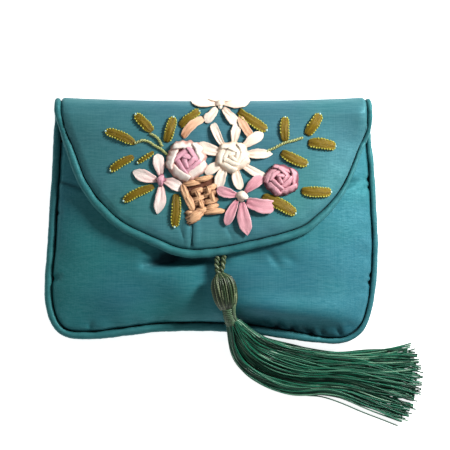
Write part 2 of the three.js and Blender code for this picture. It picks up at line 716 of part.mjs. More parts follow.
// Basket of tan ribbon: a frame of straps, and a weave of straps that pass over and under
const basketFrame = [
  { x0: -16.9, y0: -5.9, x1: -3.4, y1: -3.6, wide: 3.3 },
  { x0: -15.9, y0: -6.0, x1: -11.9, y1: -20.2, wide: 2.6 },
  { x0: -14.1, y0: -19.9, x1: 2.5, y1: -18.8, wide: 2.5 },
  { x0: -12.4, y0: -18.8, x1: -11.9, y1: -23.8, wide: 4.0 },
];
const basketWeave = [
  { x0: -12.6, y0: -8.4, x1: -0.6, y1: -6.4, wide: 2.2 },
  { x0: -11.6, y0: -11.8, x1: 0.4, y1: -9.8, wide: 2.2 },
  { x0: -10.6, y0: -15.4, x1: 1.4, y1: -13.6, wide: 2.2 },
  { x0: -9.6, y0: -7.0, x1: -7.6, y1: -17.4, wide: 2.0 },
  { x0: -5.9, y0: -6.4, x1: -4.2, y1: -17.0, wide: 2.0 },
  { x0: -2.4, y0: -5.8, x1: -0.8, y1: -16.6, wide: 2.0 },
];
const together = (solids) => solids.reduce((whole, solid) => whole.add(solid));
const straps = (rows, thick) => (grow) =>
  together(rows.map((row) => ribbonSolid(row, strapShape, grow, thick, flatSection)));
layStitch("basket_frame", straps(basketFrame, ribbonThickness * 1.5), materials.tanRibbon);
layStitch("basket_weave", straps(basketWeave, ribbonThickness), materials.tanRibbon);

// Flowers: petals from a shared middle, and a knot or rosette sewn over it
const flowers = [
  {
    name: "left_flower", middle: "knot", x: -25.6, y: -4.9, heart: 4.6, tall: 1.5,
    colour: "cream", inside: "pink",
    petals: [
      { x1: -27.3, y1: 6.3, wide: 5.1 },
      { x1: -37.4, y1: -1.5, wide: 5.1 },
      { x1: -17.6, y1: -8.2, wide: 5.1 },
      { x1: -27.0, y1: -19.1, wide: 4.8 },
    ],
  },
  {
    name: "daisy", middle: "rosette", x: 5.7, y: 5.3, heart: 13.2, tall: 0.94,
    colour: "cream", inside: "cream",
    petals: [
      { x1: -2.7, y1: 19.2, wide: 3.4 },
      { x1: 8.1, y1: 19.4, wide: 4.2 },
      { x1: 18.0, y1: 14.6, wide: 4.4 },
      { x1: 22.4, y1: 6.6, wide: 4.6 },
      { x1: 19.3, y1: -3.5, wide: 3.8 },
      { x1: 9.1, y1: -8.0, wide: 4.6 },
      { x1: -0.6, y1: -8.1, wide: 5.1 },
      { x1: -6.3, y1: -1.9, wide: 4.6 },
      { x1: -9.8, y1: 10.4, wide: 5.5 },
    ],
  },
  {
    name: "pink_flower", middle: "knot", x: 9.6, y: -11.9, heart: 5.6, tall: 0.9,
    colour: "pink", inside: "cream",
    petals: [
      { x1: 18.8, y1: -4.0, wide: 5.5 },
      { x1: -1.0, y1: -9.4, wide: 4.6 },
      { x1: 3.2, y1: -23.7, wide: 4.6 },
      { x1: 12.1, y1: -28.0, wide: 5.5 },
      { x1: 23.2, y1: -16.6, wide: 5.5 },
    ],
  },
  {
    name: "top_flower", middle: "knot", x: 0.3, y: 26.6, heart: 4.4, tall: 0.9,
    colour: "cream", inside: "pink", onFold: true,
    petals: [
      { x1: -11.9, y1: 28.0, wide: 4.0 },
      { x1: 12.5, y1: 28.0, wide: 4.0 },
      { x1: -6.0, y1: 20.5, wide: 4.6 },
      { x1: 7.0, y1: 19.6, wide: 4.6 },
    ],
  },
];
const foldEase = 0.3; // extra room under stitches that go round the fold
const knotSeat = fitGap + ribbonThickness + fitGap; // a knot is sewn over the petals' bases
for (const flower of flowers) {
  const lift = fitGap + (flower.onFold ? foldEase : 0);
  const stitches = flower.petals.map((petal) => ({ x0: flower.x, y0: flower.y, lift, ...petal }));
  const petals = (grow) => together(stitches.map((stitch) => ribbonSolid(stitch, petalShape, grow)));
  layStitch(`${flower.name}_petals`, petals, ribbonOf[flower.colour]);
  const knot = { ...flower, wide: flower.heart, folds: 3, swirl: 0.05, high: knotHeight, seat: knotSeat };
  const knotSolid = (grow) => rosetteSolid(knot, heartProfile, grow);
  layStitch(`${flower.name}_${flower.middle}`, knotSolid, ribbonOf[flower.inside]);
}

// Peach ribbons between the flowers
const peachRibbons = [
  { name: "peach_ribbon_left", x0: -7.4, y0: 22.1, x1: -16.3, y1: 14.4, wide: 3.7 },
  { name: "peach_ribbon_right", x0: 8.3, y0: 23.0, x1: 13.7, y1: 14.2, wide: 3.3 },
];
for (const ribbon of peachRibbons)
  layStitch(ribbon.name, (grow) => ribbonSolid(ribbon, leafShape, grow), materials.creamRibbon);

// Press stud that holds the flap's tip down, hidden between the flap and the pocket
const studSides = 16;
const ringPlaces = Array.from({ length: studSides }, (_, k) => {
  const turn = (2 * Math.PI * k) / studSides;
  const x = studX + (Math.cos(turn) * studDiameter) / 2;
  return new THREE.Vector2(x, studY + (Math.sin(turn) * studDiameter) / 2);
});
const underFlap = (x, y) => onFlap(x, y, -panelThickness - fitGap).z;
const studTop = Math.min(underFlap(studX, studY), ...ringPlaces.map((p) => underFlap(p.x, p.y)));
const studBottom = Math.max(...ringPlaces.map((p) => pocketTop(p.x, p.y))) + fitGap;
const studRing = (z) => ringPlaces.map((p) => new THREE.Vector3(p.x, p.y, z));
addPiece("closure_stud", ringsGeometry([studRing(studBottom), studRing(studTop)]), materials.steel);

// Height of what lies under the tassel: the pocket, the piping of its seam, and the surface beyond it
function underTassel(x, y) {
  const seamY = bottomY(x);
  if (y >= seamY) return pocketBelly(x, y) + fitGap;
  return y > seamY - edgeInset ? seamHeight + pipingRadius + fitGap : 0;
}

// Underside of a run of threads at some places: it clears what it lies on up to the next place on either
// side, and falls from it, or from where it is tied on, no steeper than it may
function settle(places, tied = 0) {
  const between = 8;
  const heights = places.map(() => 0);
  let height = tied;
  for (let i = 0; i < places.length - 1; i++)
    for (let k = 0; k < between; k++) {
      const p = places[i].clone().lerp(places[i + 1], k / between);
      const fall = (places[i].distanceTo(places[i + 1]) / between) * threadFall;
      height = Math.max(underTassel(p.x, p.y), height - fall);
      const near = k < between / 2 ? i : i + 1;
      heights[near] = Math.max(heights[near], height);
    }
  const end = places[places.length - 1];
  heights[places.length - 1] = Math.max(underTassel(end.x, end.y), height - threadFall);
  return heights;
}

// Middle line of the tassel in plan, in percent of its length from the top of its head
const tasselLine = [
  { right: 0, down: 0 },
  { right: 1.8, down: 12.9 },
  { right: 3.2, down: 18.4 },
  { right: 4.4, down: 24.1 },
  { right: 8.9, down: 31.1 },
  { right: 17.0, down: 34.5 },
  { right: 29.0, down: 36.4 },
  { right: 42.0, down: 37.9 },
  { right: 55.1, down: 39.8 },
  { right: 66.3, down: 41.3 },
  { right: 75.2, down: 42.0 },
];
const hangerTopY = along(flapRun, indexAtX(flapRun, hangerAcross), 0, 0).y - pipingRadius - fitGap;
const headTop = new THREE.Vector2(hangerAcross, hangerTopY - hangerLength);
const tasselCurve = new THREE.CatmullRomCurve3(
  tasselLine.map(
    (row) =>
      new THREE.Vector3(
        headTop.x + (row.right * tasselLength) / 100,
        headTop.y - (row.down * tasselLength) / 100,
        0,
      ),
  ),
  false,
  "centripetal",
);
const tasselPoint = (share) => tasselCurve.getPointAt(Math.min(1, Math.max(0, share)));
const sideways = (share) => {
  const t = tasselCurve.getTangentAt(Math.min(1, Math.max(0, share)));
  return new THREE.Vector3(-t.y, t.x, 0);
};

// Head and neck as shares of the head's length, and of its width and height
const headShape = [
  { at: 0.0, size: 0.34 },
  { at: 0.1, size: 0.72 },
  { at: 0.28, size: 0.96 },
  { at: 0.5, size: 1.0 },
  { at: 0.75, size: 0.88 },
  { at: 0.94, size: 0.66 },
];
const neckStart = headLength / tasselLength;
const neckEnd = (headLength + neckLength) / tasselLength;
const tasselStations = [
  ...headShape.map((row) => ({
    share: row.at * neckStart,
    width: headWidth * row.size,
    height: headHeight * row.size,
  })),
  { share: neckStart, width: neckWidth, height: neckWidth },
  { share: neckEnd, width: neckWidth, height: neckWidth },
  { share: neckEnd + 0.02, width: neckWidth * 0.8, height: neckWidth * 0.8 },
];
const wrapRows = [headShape.length, headShape.length + 1]; // the stations at the two ends of the neck
const lowest = settle(tasselStations.map((row) => tasselPoint(row.share)));
const seatOnPocket = fitGap; // the head and neck ride a little above the satin
tasselStations.forEach((row, i) => {
  const tallest = i < headShape.length ? headHeight : neckWidth + 2 * (fitGap + wrapThickness);
  row.point = tasselPoint(row.share).setZ(lowest[i] + seatOnPocket + tallest / 2);
});
const stationTangent = (i) => {
  const ahead = tasselStations[Math.min(i + 1, tasselStations.length - 1)].point;
  return ahead.clone().sub(tasselStations[Math.max(i - 1, 0)].point).normalize();
};
const headSides = 12;
const headRings = tasselStations.map((row, i) =>
  ovalRing(row.point, stationTangent(i), row.width, row.height, headSides),
);

// Skirt: how wide it spreads and how high its locks stand, from the neck's end to the threads' ends
const skirtStart = neckEnd + fitGap / tasselLength;
const skirtShape = [
  { at: 0.0, spread: 0.08, height: 1.0 },
  { at: 0.074, spread: 0.34, height: 1.2 },
  { at: 0.173, spread: 0.56, height: 1.2 },
  { at: 0.284, spread: 0.65, height: 1.1 },
  { at: 0.432, spread: 0.62, height: 1.0 },
  { at: 0.58, spread: 0.66, height: 0.95 },
  { at: 0.753, spread: 0.82, height: 0.8 },
  { at: 0.889, spread: 1.0, height: 0.65 },
  { at: 1.0, spread: 1.04, height: 0.4 },
];
const lockOverlap = 1.35; // width of a lock, in shares of its own room
const lockSides = 6;
function lockSolid(place) {
  const length = 1 - 0.05 * (1 - Math.cos(5 * place)) - 0.02 * Math.abs(place);
  const places = skirtShape.map((row) => {
    const share = mix(skirtStart, length, row.at);
    return tasselPoint(share).addScaledVector(sideways(share), (place * row.spread * skirtWidth) / 2);
  });
  const under = settle(places, lowest[wrapRows[1]]);
  const heights = skirtShape.map((row) => lockHeight * row.height);
  const centres = places.map((p, i) => p.clone().setZ(under[i] + heights[i] / 2));
  const last = centres.length - 1;
  const rings = centres.map((p, i) => {
    const tangent = centres[Math.min(i + 1, last)].clone().sub(centres[Math.max(i - 1, 0)]).normalize();
    const share = (lockOverlap * skirtShape[i].spread * skirtWidth) / lockCount;
    return ovalRing(p, tangent, Math.max(0.6 * heights[i], share), heights[i], lockSides);
  });
  return solidOf(ringsGeometry(rings));
}
const locks = Array.from({ length: lockCount }, (_, k) => lockSolid((2 * k) / (lockCount - 1) - 1));
addPiece(
  "tassel_head_and_skirt",
  geometryOf(together([solidOf(ringsGeometry(headRings)), ...locks])),
  materials.tasselThread,
);

// Band of thread wound round the neck
const wrapRing = (station, size, inset) => {
  const row = tasselStations[station];
  const tangent = stationTangent(headShape.length);
  return ovalRing(row.point.clone().addScaledVector(tangent, inset), tangent, size, size, headSides);
};
const wrapInner = neckWidth + 2 * fitGap;
const wrapOuter = wrapInner + 2 * wrapThickness;
addPiece(
  "tassel_neck_wrap",
  ringsGeometry(
    [
      wrapRing(wrapRows[0], wrapInner, fitGap),
      wrapRing(wrapRows[0], wrapOuter, fitGap),
      wrapRing(wrapRows[1], wrapOuter, 0),
      wrapRing(wrapRows[1], wrapInner, 0),
    ],
    true,
  ),
  materials.tasselThread,
);

// Hanger: two twisted cords side by side from the flap's tip to the top of the head
const hangerSteps = 9;
const hangerLeg = (side) => {
  const rings = [];
  for (let k = 0; k <= hangerSteps; k++) {
    const share = k / hangerSteps;
    const x = hangerAcross + (side * hangerPlyDiameter) / 2;
    const y = hangerTopY - share * (hangerLength - fitGap);
    const z = underTassel(x, y) + seatOnPocket + hangerPlyDiameter / 2;
    const twist = (2 * Math.PI * share * hangerLength) / hangerTwistPitch;
    const ring = Array.from({ length: 8 }, (_, i) => {
      const turn = (2 * Math.PI * i) / 8;
      const a = (hangerPlyDiameter / 2) * 1.1 * Math.cos(turn);
      const b = (hangerPlyDiameter / 2) * 0.72 * Math.sin(turn);
      return new THREE.Vector3(
        x + a * Math.cos(twist) - b * Math.sin(twist),
        y,
        z + a * Math.sin(twist) + b * Math.cos(twist),
      );
    });
    rings.push(ring);
  }
  return solidOf(ringsGeometry(rings));
};
addPiece("tassel_hanger", geometryOf(hangerLeg(-1).add(hangerLeg(1))), materials.tasselThread);

export default purse;
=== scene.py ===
# %% [markdown]
# # A little satin purse with ribbon embroidery
#
# This lesson builds a padded satin purse that lies on its back with its flap closed. A basket of
# flowers is sewn on the flap with silk ribbon, and a silk tassel hangs from the flap's tip. Plain
# solids of every piece are loaded first: they fix the sizes and the places, and each finished piece
# of this lesson then stands for one or more of them.

# %% Load the solids
import json
import math
import bpy
import numpy as np
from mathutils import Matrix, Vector
from mathutils.bvhtree import BVHTree
from mathutils.kdtree import KDTree

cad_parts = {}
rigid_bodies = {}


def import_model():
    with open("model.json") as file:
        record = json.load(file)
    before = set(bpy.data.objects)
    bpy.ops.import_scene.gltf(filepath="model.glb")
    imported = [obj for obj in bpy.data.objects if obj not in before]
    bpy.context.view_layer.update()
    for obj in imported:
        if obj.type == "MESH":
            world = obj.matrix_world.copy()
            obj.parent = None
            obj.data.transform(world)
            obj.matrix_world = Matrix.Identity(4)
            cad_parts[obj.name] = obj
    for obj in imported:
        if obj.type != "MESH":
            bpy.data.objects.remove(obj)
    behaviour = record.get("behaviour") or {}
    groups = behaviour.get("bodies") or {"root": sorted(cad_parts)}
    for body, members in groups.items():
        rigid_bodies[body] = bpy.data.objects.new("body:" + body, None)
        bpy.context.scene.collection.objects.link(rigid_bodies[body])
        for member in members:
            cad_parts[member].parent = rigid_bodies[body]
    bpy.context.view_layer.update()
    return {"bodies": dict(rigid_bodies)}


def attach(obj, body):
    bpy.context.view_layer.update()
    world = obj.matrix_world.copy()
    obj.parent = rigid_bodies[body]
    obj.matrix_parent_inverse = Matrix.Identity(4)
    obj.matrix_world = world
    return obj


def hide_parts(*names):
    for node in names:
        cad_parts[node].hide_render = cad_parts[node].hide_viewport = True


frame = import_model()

bpy.ops.object.select_all(action="DESELECT")

# %% [markdown]
# ## Camera
#
# The picture was taken from straight above, so the camera looks straight down. A long lens from
# 1.2 m away keeps the fold and the thread ends almost free of perspective, as in a catalogue picture.

# %% Camera above the purse
MM = 0.001
VIEW_WIDTH = 161.2 * MM
VIEW_MIDDLE = (4.84 * MM, -1.4 * MM)
CAMERA_HEIGHT = 1200 * MM
FOCUS_HEIGHT = 8 * MM        # where the view is just as wide as the picture
bpy.ops.object.camera_add(location=(*VIEW_MIDDLE, CAMERA_HEIGHT), rotation=(0, 0, 0))
camera = bpy.context.object
camera.name = "camera_above"
camera.data.lens = camera.data.sensor_width * (CAMERA_HEIGHT - FOCUS_HEIGHT) / VIEW_WIDTH
bpy.context.scene.camera = camera
print("lens:", round(camera.data.lens), "mm")

# %% [markdown]
# ## Floor and light
#
# A white table and soft studio light. The main light stands to the right and a little behind, low
# enough to rake over the satin: it makes the right side bright and lets the ribbons throw short
# shadows to the lower left. A large weak light from the left keeps those shadows open.

# %% A pale floor
def plain_material(name, colour, roughness):
    """One colour all over."""
    material = bpy.data.materials.new(name)
    material.use_nodes = True
    shader = material.node_tree.nodes["Principled BSDF"]
    shader.inputs["Base Color"].default_value = (*colour, 1)
    shader.inputs["Roughness"].default_value = roughness
    return material


bpy.ops.mesh.primitive_plane_add(size=6, location=(0, 0, -0.05 * MM))
floor = bpy.context.object
floor.name = "floor"
light_table = plain_material("light_table", (0.9, 0.9, 0.9), 0.9)
glow = light_table.node_tree.nodes["Principled BSDF"].inputs
glow["Emission Color"].default_value = (1, 1, 1, 1)
glow["Emission Strength"].default_value = 0.80
floor.data.materials.append(light_table)
print("floor:", round(floor.dimensions.x), "m wide")


# %% Lights
def soft_light(name, place, size, power, colour):
    """A square light that looks at the middle of the purse."""
    bpy.ops.object.light_add(type="AREA", location=place)
    light = bpy.context.object
    light.name = name
    light.data.size = size
    light.data.energy = power
    light.data.color = colour
    light.rotation_euler = (-Vector(place)).to_track_quat("-Z", "Y").to_euler()


soft_light("key_light", (0.30, 0.19, 0.25), 0.09, 2.9, (1.0, 0.985, 0.96))
soft_light("fill_light", (-0.45, -0.20, 0.75), 0.6, 0.7, (0.95, 0.98, 1.0))
world = bpy.data.worlds.new("studio_white")
world.use_nodes = True
backdrop = world.node_tree.nodes["Background"].inputs
backdrop["Color"].default_value = (1, 1, 1, 1)
backdrop["Strength"].default_value = 0.22
bpy.context.scene.world = world
bpy.context.scene.view_settings.view_transform = "Standard"

# %% [markdown]
# ## The shape of the cloth
#
# The purse has two outlines, one of the body and one of the flap, drawn over their piping. Each is a
# short list of points as shares of half the width and of the height, with a smooth curve through
# them. The curve is moved inwards to get the cloth's edge and the middle of the piping.

# %% Sizes of the purse
BODY_WIDTH = 120.6 * MM
BODY_HEIGHT = 88.6 * MM
FLAP_WIDTH = 114.6 * MM
FLAP_DROP = 57.8 * MM
SEAM_HEIGHT = 4.2 * MM       # middle of the body's piping above the table
POCKET_RISE = 8.4 * MM       # how far the belly stands above its seam
MOUTH_DROP = 16 * MM         # fold to the hidden mouth of the pocket
FOLD_HEIGHT = 10.2 * MM      # from the back to the flap, between the middles of the cloth
FOLD_REACH = 4.6 * MM        # how far the fold bulges
FOLD_DIP = 1.2 * MM          # how much less it bulges in the middle
PANEL = 1.6 * MM             # satin, wadding and lining of the outer panel
POCKET = 1.5 * MM            # the same of the pocket
PIPING = 1.5 * MM            # radius of the covered cord
FIT_GAP = 0.3 * MM           # left between pieces that lie on each other
EDGE_GAP = 0.55 * MM         # the ditch between a cloth edge and its piping
BACK_FLAT = 0.62             # share of the back that lies flat
FOLD_Y = BODY_HEIGHT / 2
FOLD_START = FOLD_Y - FOLD_REACH - PANEL / 2
MOUTH_Y = FOLD_Y - MOUTH_DROP
CORNER_Y = FOLD_Y - 0.8 * BODY_HEIGHT
FLAP_CORNER_Y = FOLD_Y - 0.17 * FLAP_DROP
print("body in mm:", round(BODY_WIDTH / MM, 1), "by", round(BODY_HEIGHT / MM, 1))

# %% Outlines, as shares across and down
BODY_OUTLINE = [
    (-0.952, 0.0), (-0.946, 0.13), (-0.952, 0.252), (-0.967, 0.415), (-0.979, 0.577),
    (-1.0, 0.76), (-0.992, 0.846), (-0.964, 0.911), (-0.922, 0.951), (-0.863, 0.975),
    (-0.719, 0.982), (-0.528, 0.97), (-0.313, 0.953), (-0.075, 0.949), (0.164, 0.955),
    (0.343, 0.97), (0.522, 0.988), (0.701, 1.0), (0.809, 0.994), (0.887, 0.963),
    (0.934, 0.919), (0.964, 0.854), (0.988, 0.74), (0.997, 0.598), (0.988, 0.455),
    (0.973, 0.272), (0.955, 0.15), (0.955, 0.049), (0.949, 0.0),
]
FLAP_OUTLINE = [
    (-1.0, 0.0), (-0.99, 0.106), (-0.963, 0.199), (-0.891, 0.399), (-0.84, 0.53),
    (-0.743, 0.673), (-0.586, 0.819), (-0.361, 0.928), (-0.235, 0.981), (-0.12, 1.0),
    (0.034, 0.99), (0.241, 0.95), (0.48, 0.891), (0.599, 0.846), (0.687, 0.779),
    (0.8, 0.665), (0.875, 0.548), (0.953, 0.364), (0.99, 0.24), (1.003, 0.13), (0.997, 0.0),
]


def smooth(t):
    """A soft step from 0 to 1."""
    t = np.clip(t, 0, 1)
    return t * t * (3 - 2 * t)


def mix(a, b, t):
    """From a to b as t goes from 0 to 1."""
    return a + (b - a) * t


# %% [markdown]
# Much of the purse follows runs of points: edges, seams, cords and threads. These helpers measure a
# run, space it evenly, and find the direction square to it.

# %% Helpers for runs of points
def unit(vectors):
    """The same directions, one long."""
    return vectors / np.maximum(1e-12, np.linalg.norm(vectors, axis=-1, keepdims=True))


def distances(run):
    """How far along a run each of its points lies."""
    return np.append(0, np.cumsum(np.linalg.norm(np.diff(run, axis=0), axis=1)))


def evenly(run, count):
    """That many evenly spaced points along a run."""
    far = distances(run)
    even = np.linspace(0, far[-1], count)
    return np.column_stack([np.interp(even, far, axis) for axis in run.T])


def even_run(run, step):
    """Points along a run, about a step apart."""
    return evenly(run, max(2, int(distances(run)[-1] / step)) + 1)


def beside(run):
    """Level directions to the left of a run."""
    ahead = unit(np.gradient(run[:, :2], axis=0))
    return np.column_stack([-ahead[:, 1], ahead[:, 0]])


# %% [markdown]
# A Catmull-Rom curve passes through every drawn point. The centripetal kind makes no loops where
# two points lie close together, so it suits the tight corners of the body.

# %% A smooth curve through an outline
def plan_curve(rows, half_width, height, inset, samples=160):
    """Evenly spaced points along the outline, moved inwards to its left."""
    drawn = np.array([(across * half_width, FOLD_Y - down * height) for across, down in rows])
    held = np.vstack([2 * drawn[0] - drawn[1], drawn, 2 * drawn[-1] - drawn[-2]])
    spans = []
    t = np.linspace(0, 1, 24, endpoint=False)[:, None]
    for a, b, c, d in zip(held, held[1:], held[2:], held[3:]):
        k0, k1, k2 = (np.linalg.norm(q - p) ** 0.5 for p, q in ((a, b), (b, c), (c, d)))
        leave = ((b - a) / k0 - (c - a) / (k0 + k1) + (c - b) / k1) * k1
        arrive = ((c - b) / k1 - (d - b) / (k1 + k2) + (d - c) / k2) * k1
        spans.append(b + leave * t + (3 * (c - b) - 2 * leave - arrive) * t**2
                     + (2 * (b - c) + leave + arrive) * t**3)
    curve = evenly(np.vstack(spans + [drawn[-1:]]), samples + 1)
    return curve + inset * beside(curve)


def place_at_y(curve, y, from_end=False):
    """Where, in whole and part points, a run of the curve passes a height."""
    run = curve[::-1] if from_end else curve
    k = int(np.argmax(run[1:, 1] <= y))
    k += (run[k, 1] - y) / max(1e-9, run[k, 1] - run[k + 1, 1])
    return len(curve) - 1 - k if from_end else k


def point_at(curve, k):
    """The place on a curve at k points from its start; k may be a table."""
    i = np.arange(len(curve))
    return np.stack([np.interp(k, i, curve[:, axis]) for axis in range(curve.shape[1])], axis=-1)


body_edge = plan_curve(BODY_OUTLINE, BODY_WIDTH / 2, BODY_HEIGHT, 2 * PIPING + EDGE_GAP)
flap_edge = plan_curve(FLAP_OUTLINE, FLAP_WIDTH / 2, FLAP_DROP, 2 * PIPING + EDGE_GAP)
print("cloth edges:", len(body_edge), "and", len(flap_edge), "points")

# %% [markdown]
# A patch between four curved edges is called a Coons patch. It gives the cloth an even grid of
# threads: u runs across from -1 to 1 and v runs down from 0 to 1.

# %% Patches in plan
def plan_patch(curve, top_y, corner_y):
    """A function of u and v that fills the outline below a height; its lower corners are given."""
    left_top, right_top = place_at_y(curve, top_y), place_at_y(curve, top_y, True)
    left_end, right_end = place_at_y(curve, corner_y), place_at_y(curve, corner_y, True)

    def at(u, v):
        w = (u + 1) / 2
        left = point_at(curve, mix(left_top, left_end, v))
        right = point_at(curve, mix(right_top, right_end, v))
        bottom = point_at(curve, mix(left_end, right_end, w))
        w, v = w[..., None], v[..., None]
        top = mix(point_at(curve, left_top), point_at(curve, right_top), w)
        corner = mix(point_at(curve, left_end), point_at(curve, right_end), w)
        return mix(left, right, w) + mix(top, bottom, v) - mix(top, corner, v)

    return at


back_plan = plan_patch(body_edge, FOLD_START, CORNER_Y)
pocket_plan = plan_patch(body_edge, MOUTH_Y, CORNER_Y)
flap_plan = plan_patch(flap_edge, FOLD_START, FLAP_CORNER_Y)
corner_left = place_at_y(body_edge, CORNER_Y)
corner_right = place_at_y(body_edge, CORNER_Y, True)
left_side = body_edge[: int(corner_left) + 2][::-1]
right_side = body_edge[int(corner_right):]
bottom_side = body_edge[int(corner_left): int(corner_right) + 2]
print("points on the sides and the bottom:", len(left_side), len(right_side), len(bottom_side))


def side_x(y, right):
    """The body's edge on one side, at a height."""
    run = right_side if right else left_side
    return np.interp(np.maximum(y, CORNER_Y), run[:, 1], run[:, 0])


def bottom_y(x):
    """The body's bottom edge."""
    return np.interp(x, bottom_side[:, 0], bottom_side[:, 1])


# %% [markdown]
# The piping isn't equally full everywhere. On the right, and at the ends of the fold, the stuffed
# cloth comes further out and draws the piping thin. Two functions give the reach of the cloth
# beyond its plan, and the fullness of the piping beside it.

# %% Where the cloth reaches out and the piping thins
def body_slack(x):
    """Reach of the cloth beyond its plan, and fullness of the piping, along the body's edge."""
    right, left = smooth((x / MM - 26) / 20), smooth((-x / MM - 28) / 20)
    return (1.0 * right + 0.35 * left) * MM, 1 - 0.34 * right - 0.10 * left


def flap_slack(x, y):
    """The same two along the flap's edge, from its low part to the fold."""
    low, high = smooth((y / MM + 8) / 28), smooth((y / MM - 24) / 10.7)
    reach = np.where(x > 0, 0.5 * low + 1.2 * high, 0.35 * high) * MM
    return reach, np.where(x > 0, 1 - 0.44 * low, 1 - 0.24 * high)


RIM_REACH = 6 * MM           # how far into the cloth a pushed rim is felt


def push_rim(plan, edge, reach):
    """Slide the points near an edge outwards, straight across it; the rim itself goes all the way."""
    edge = point_at(edge, np.linspace(0, len(edge) - 1, 8 * len(edge)))
    out = -beside(edge)
    moved = plan.copy()
    for i, row in enumerate(plan):
        gaps = np.linalg.norm(row[:, None] - edge[None], axis=2)
        share = np.maximum(0, 1 - gaps.min(axis=1) / RIM_REACH) ** 2
        moved[i] = row + out[gaps.argmin(axis=1)] * (share * reach[i])[:, None]
    return moved


def moved_out(path, reach, full, gap):
    """Move the middle of a piping to suit the cloth beside it."""
    shift = reach + gap + full * PIPING - EDGE_GAP - PIPING
    moved = path.copy()
    moved[:, :2] -= beside(path) * shift[:, None]
    return moved


# %% [markdown]
# ## Folds, creases and puckers
#
# Satin over wadding is never quite smooth. Three things shape it here. Grooves are soft creases
# drawn from point to point where the picture shows them. Puckers are short waves that start at a
# seam, where the thread pulls, and die away a few millimetres into the cloth. A slow swell of a few
# long waves keeps the rest from looking machined. All waves come from one seeded table of random
# numbers, so the cloth is the same at every run.

# %% Waves and grooves
def swell(x, y, length, seed, waves=7):
    """A few crossed waves of about the same length: between -1 and 1, nearly always."""
    table = np.random.default_rng(seed).uniform(0, 1, (waves, 3))
    total = 0
    for turn, phase, stretch in table:
        turn *= 2 * math.pi
        reach = length * (0.7 + 0.8 * stretch)
        total = total + np.sin(2 * math.pi * ((x * math.cos(turn) + y * math.sin(turn)) / reach + phase))
    return total / math.sqrt(waves) / 1.2


PICTURE_SCALE = 0.3582       # mm of the purse for one point of the picture
PURSE_IN_PICTURE = (211.5, 221)


def picture_point(px, py):
    """A place in the picture, in its points, as metres across the purse."""
    middle_x, middle_y = PURSE_IN_PICTURE
    return (px - middle_x) * PICTURE_SCALE * MM, (middle_y - py) * PICTURE_SCALE * MM


def picture_run(points):
    """A run of places in the picture, as metres across the purse."""
    return np.array([picture_point(*point) for point in points])


def groove(rows, x, y):
    """Depth of the soft grooves at a place; a negative depth makes a ridge."""
    total = 0
    for ax, ay, bx, by, depth, breadth in rows:
        (ax, ay), (bx, by) = picture_point(ax, ay), picture_point(bx, by)
        dx, dy = bx - ax, by - ay
        t = np.clip(((x - ax) * dx + (y - ay) * dy) / (dx * dx + dy * dy), 0, 1)
        away = np.hypot(x - ax - t * dx, y - ay - t * dy) / (breadth * MM)
        ends = 0.15 + 0.85 * np.sin(math.pi * (0.9 * t + 0.05)) ** 0.7
        total = total + depth * MM * ends * np.exp(-away * away)
    return total


# %% [markdown]
# Each groove below runs from one point of the picture to another, and has a depth and a breadth in
# mm. The pocket has its folds, the pulls of its seam, the places that get painted shade, and the
# notches that its pulls leave in the rim; for painted shade the depth is the share of shade. The flap
# has a seam down its tip and a few faint folds; its seam also gets painted shade.

# %% Grooves of the pocket and the flap
POCKET_FOLDS = [
    (50, 177, 84, 189, 1.9, 1.0), (60, 186, 84, 193, -0.5, 2.2), (150, 250, 196, 257, 2.4, 2.6),
    (146, 264, 200, 259, 2.8, 1.9), (176, 258, 222, 259, 1.6, 1.8), (136, 268, 160, 278, -0.3, 3.4),
    (206, 258, 204, 330, 0.9, 3.6), (214, 262, 213, 326, -0.45, 3.0), (332, 191, 356, 181, 2.0, 1.2),
    (327, 185, 350, 174, -0.6, 1.8), (236, 319, 300, 327, 3.4, 2.8), (296, 326, 354, 331, 3.2, 2.8),
    (240, 304, 346, 314, -1.5, 4.2),
    (268, 252, 279, 266, 0.5, 1.4), (284, 256, 296, 262, 0.35, 1.6),
    (54, 274, 100, 250, 0.9, 2.6), (62, 262, 118, 238, -0.5, 4.5), (120, 312, 190, 306, 0.3, 5.0),
    (58, 300, 130, 296, -0.3, 6.0), (170, 262, 186, 330, -0.35, 5.0),
]
SEAM_PULLS = [
    (264, 320, 272, 331, 1.6, 1.2), (279, 321, 286, 335, 2.2, 1.2), (293, 324, 299, 336, 2.0, 1.1),
    (306, 326, 313, 339, 2.4, 1.2), (321, 330, 325, 340, 1.6, 1.1), (338, 328, 341, 338, 1.3, 1.0),
    (368, 180, 377, 183, 1.6, 0.9), (368, 188, 376, 192, 0.9, 0.8), (369, 282, 379, 286, 1.8, 0.9),
    (370, 290, 378, 292, 0.9, 0.8), (55, 214, 60, 212, 0.9, 0.8),
    (53, 280, 60, 276, 1.1, 0.9), (164, 326, 166, 318, 0.8, 0.8), (90, 331, 91, 323, 0.7, 0.8),
]
# Painted shade, not grooves: each row darkens the satin, with its depth as the share of shade.
POCKET_SHADES = [
    (40, 176, 86, 189.5, 0.5, 0.6), (158, 257, 176, 256, 1.0, 2.4), (148, 264, 178, 259, 0.8, 1.6),
    (176, 257, 226, 260, 0.8, 2.2), (240, 321, 300, 331, 0.7, 2.4), (296, 330, 350, 335, 0.7, 2.2),
    (64, 192, 108, 236, 0.22, 5.0), (108, 236, 150, 258, 0.30, 4.0), (250, 254, 298, 246, 0.28, 3.4),
    (277, 326, 279, 332, 0.7, 0.9), (292, 328, 294, 335, 0.7, 0.9), (311, 331, 313, 338, 0.8, 1.0),
]
RIM_NOTCHES = [
    (364, 179, 380, 181, 1.0, 0.8), (364, 187, 380, 189, 0.7, 0.7), (366, 275, 382, 276, 0.8, 0.7),
    (364, 282, 380, 284, 1.1, 0.8), (276, 322, 278, 340, 0.5, 0.8), (292, 324, 294, 342, 0.6, 0.8),
    (311, 326, 313, 344, 0.6, 0.8), (50, 214, 64, 212, 0.5, 0.7), (48, 280, 62, 277, 0.6, 0.8),
]
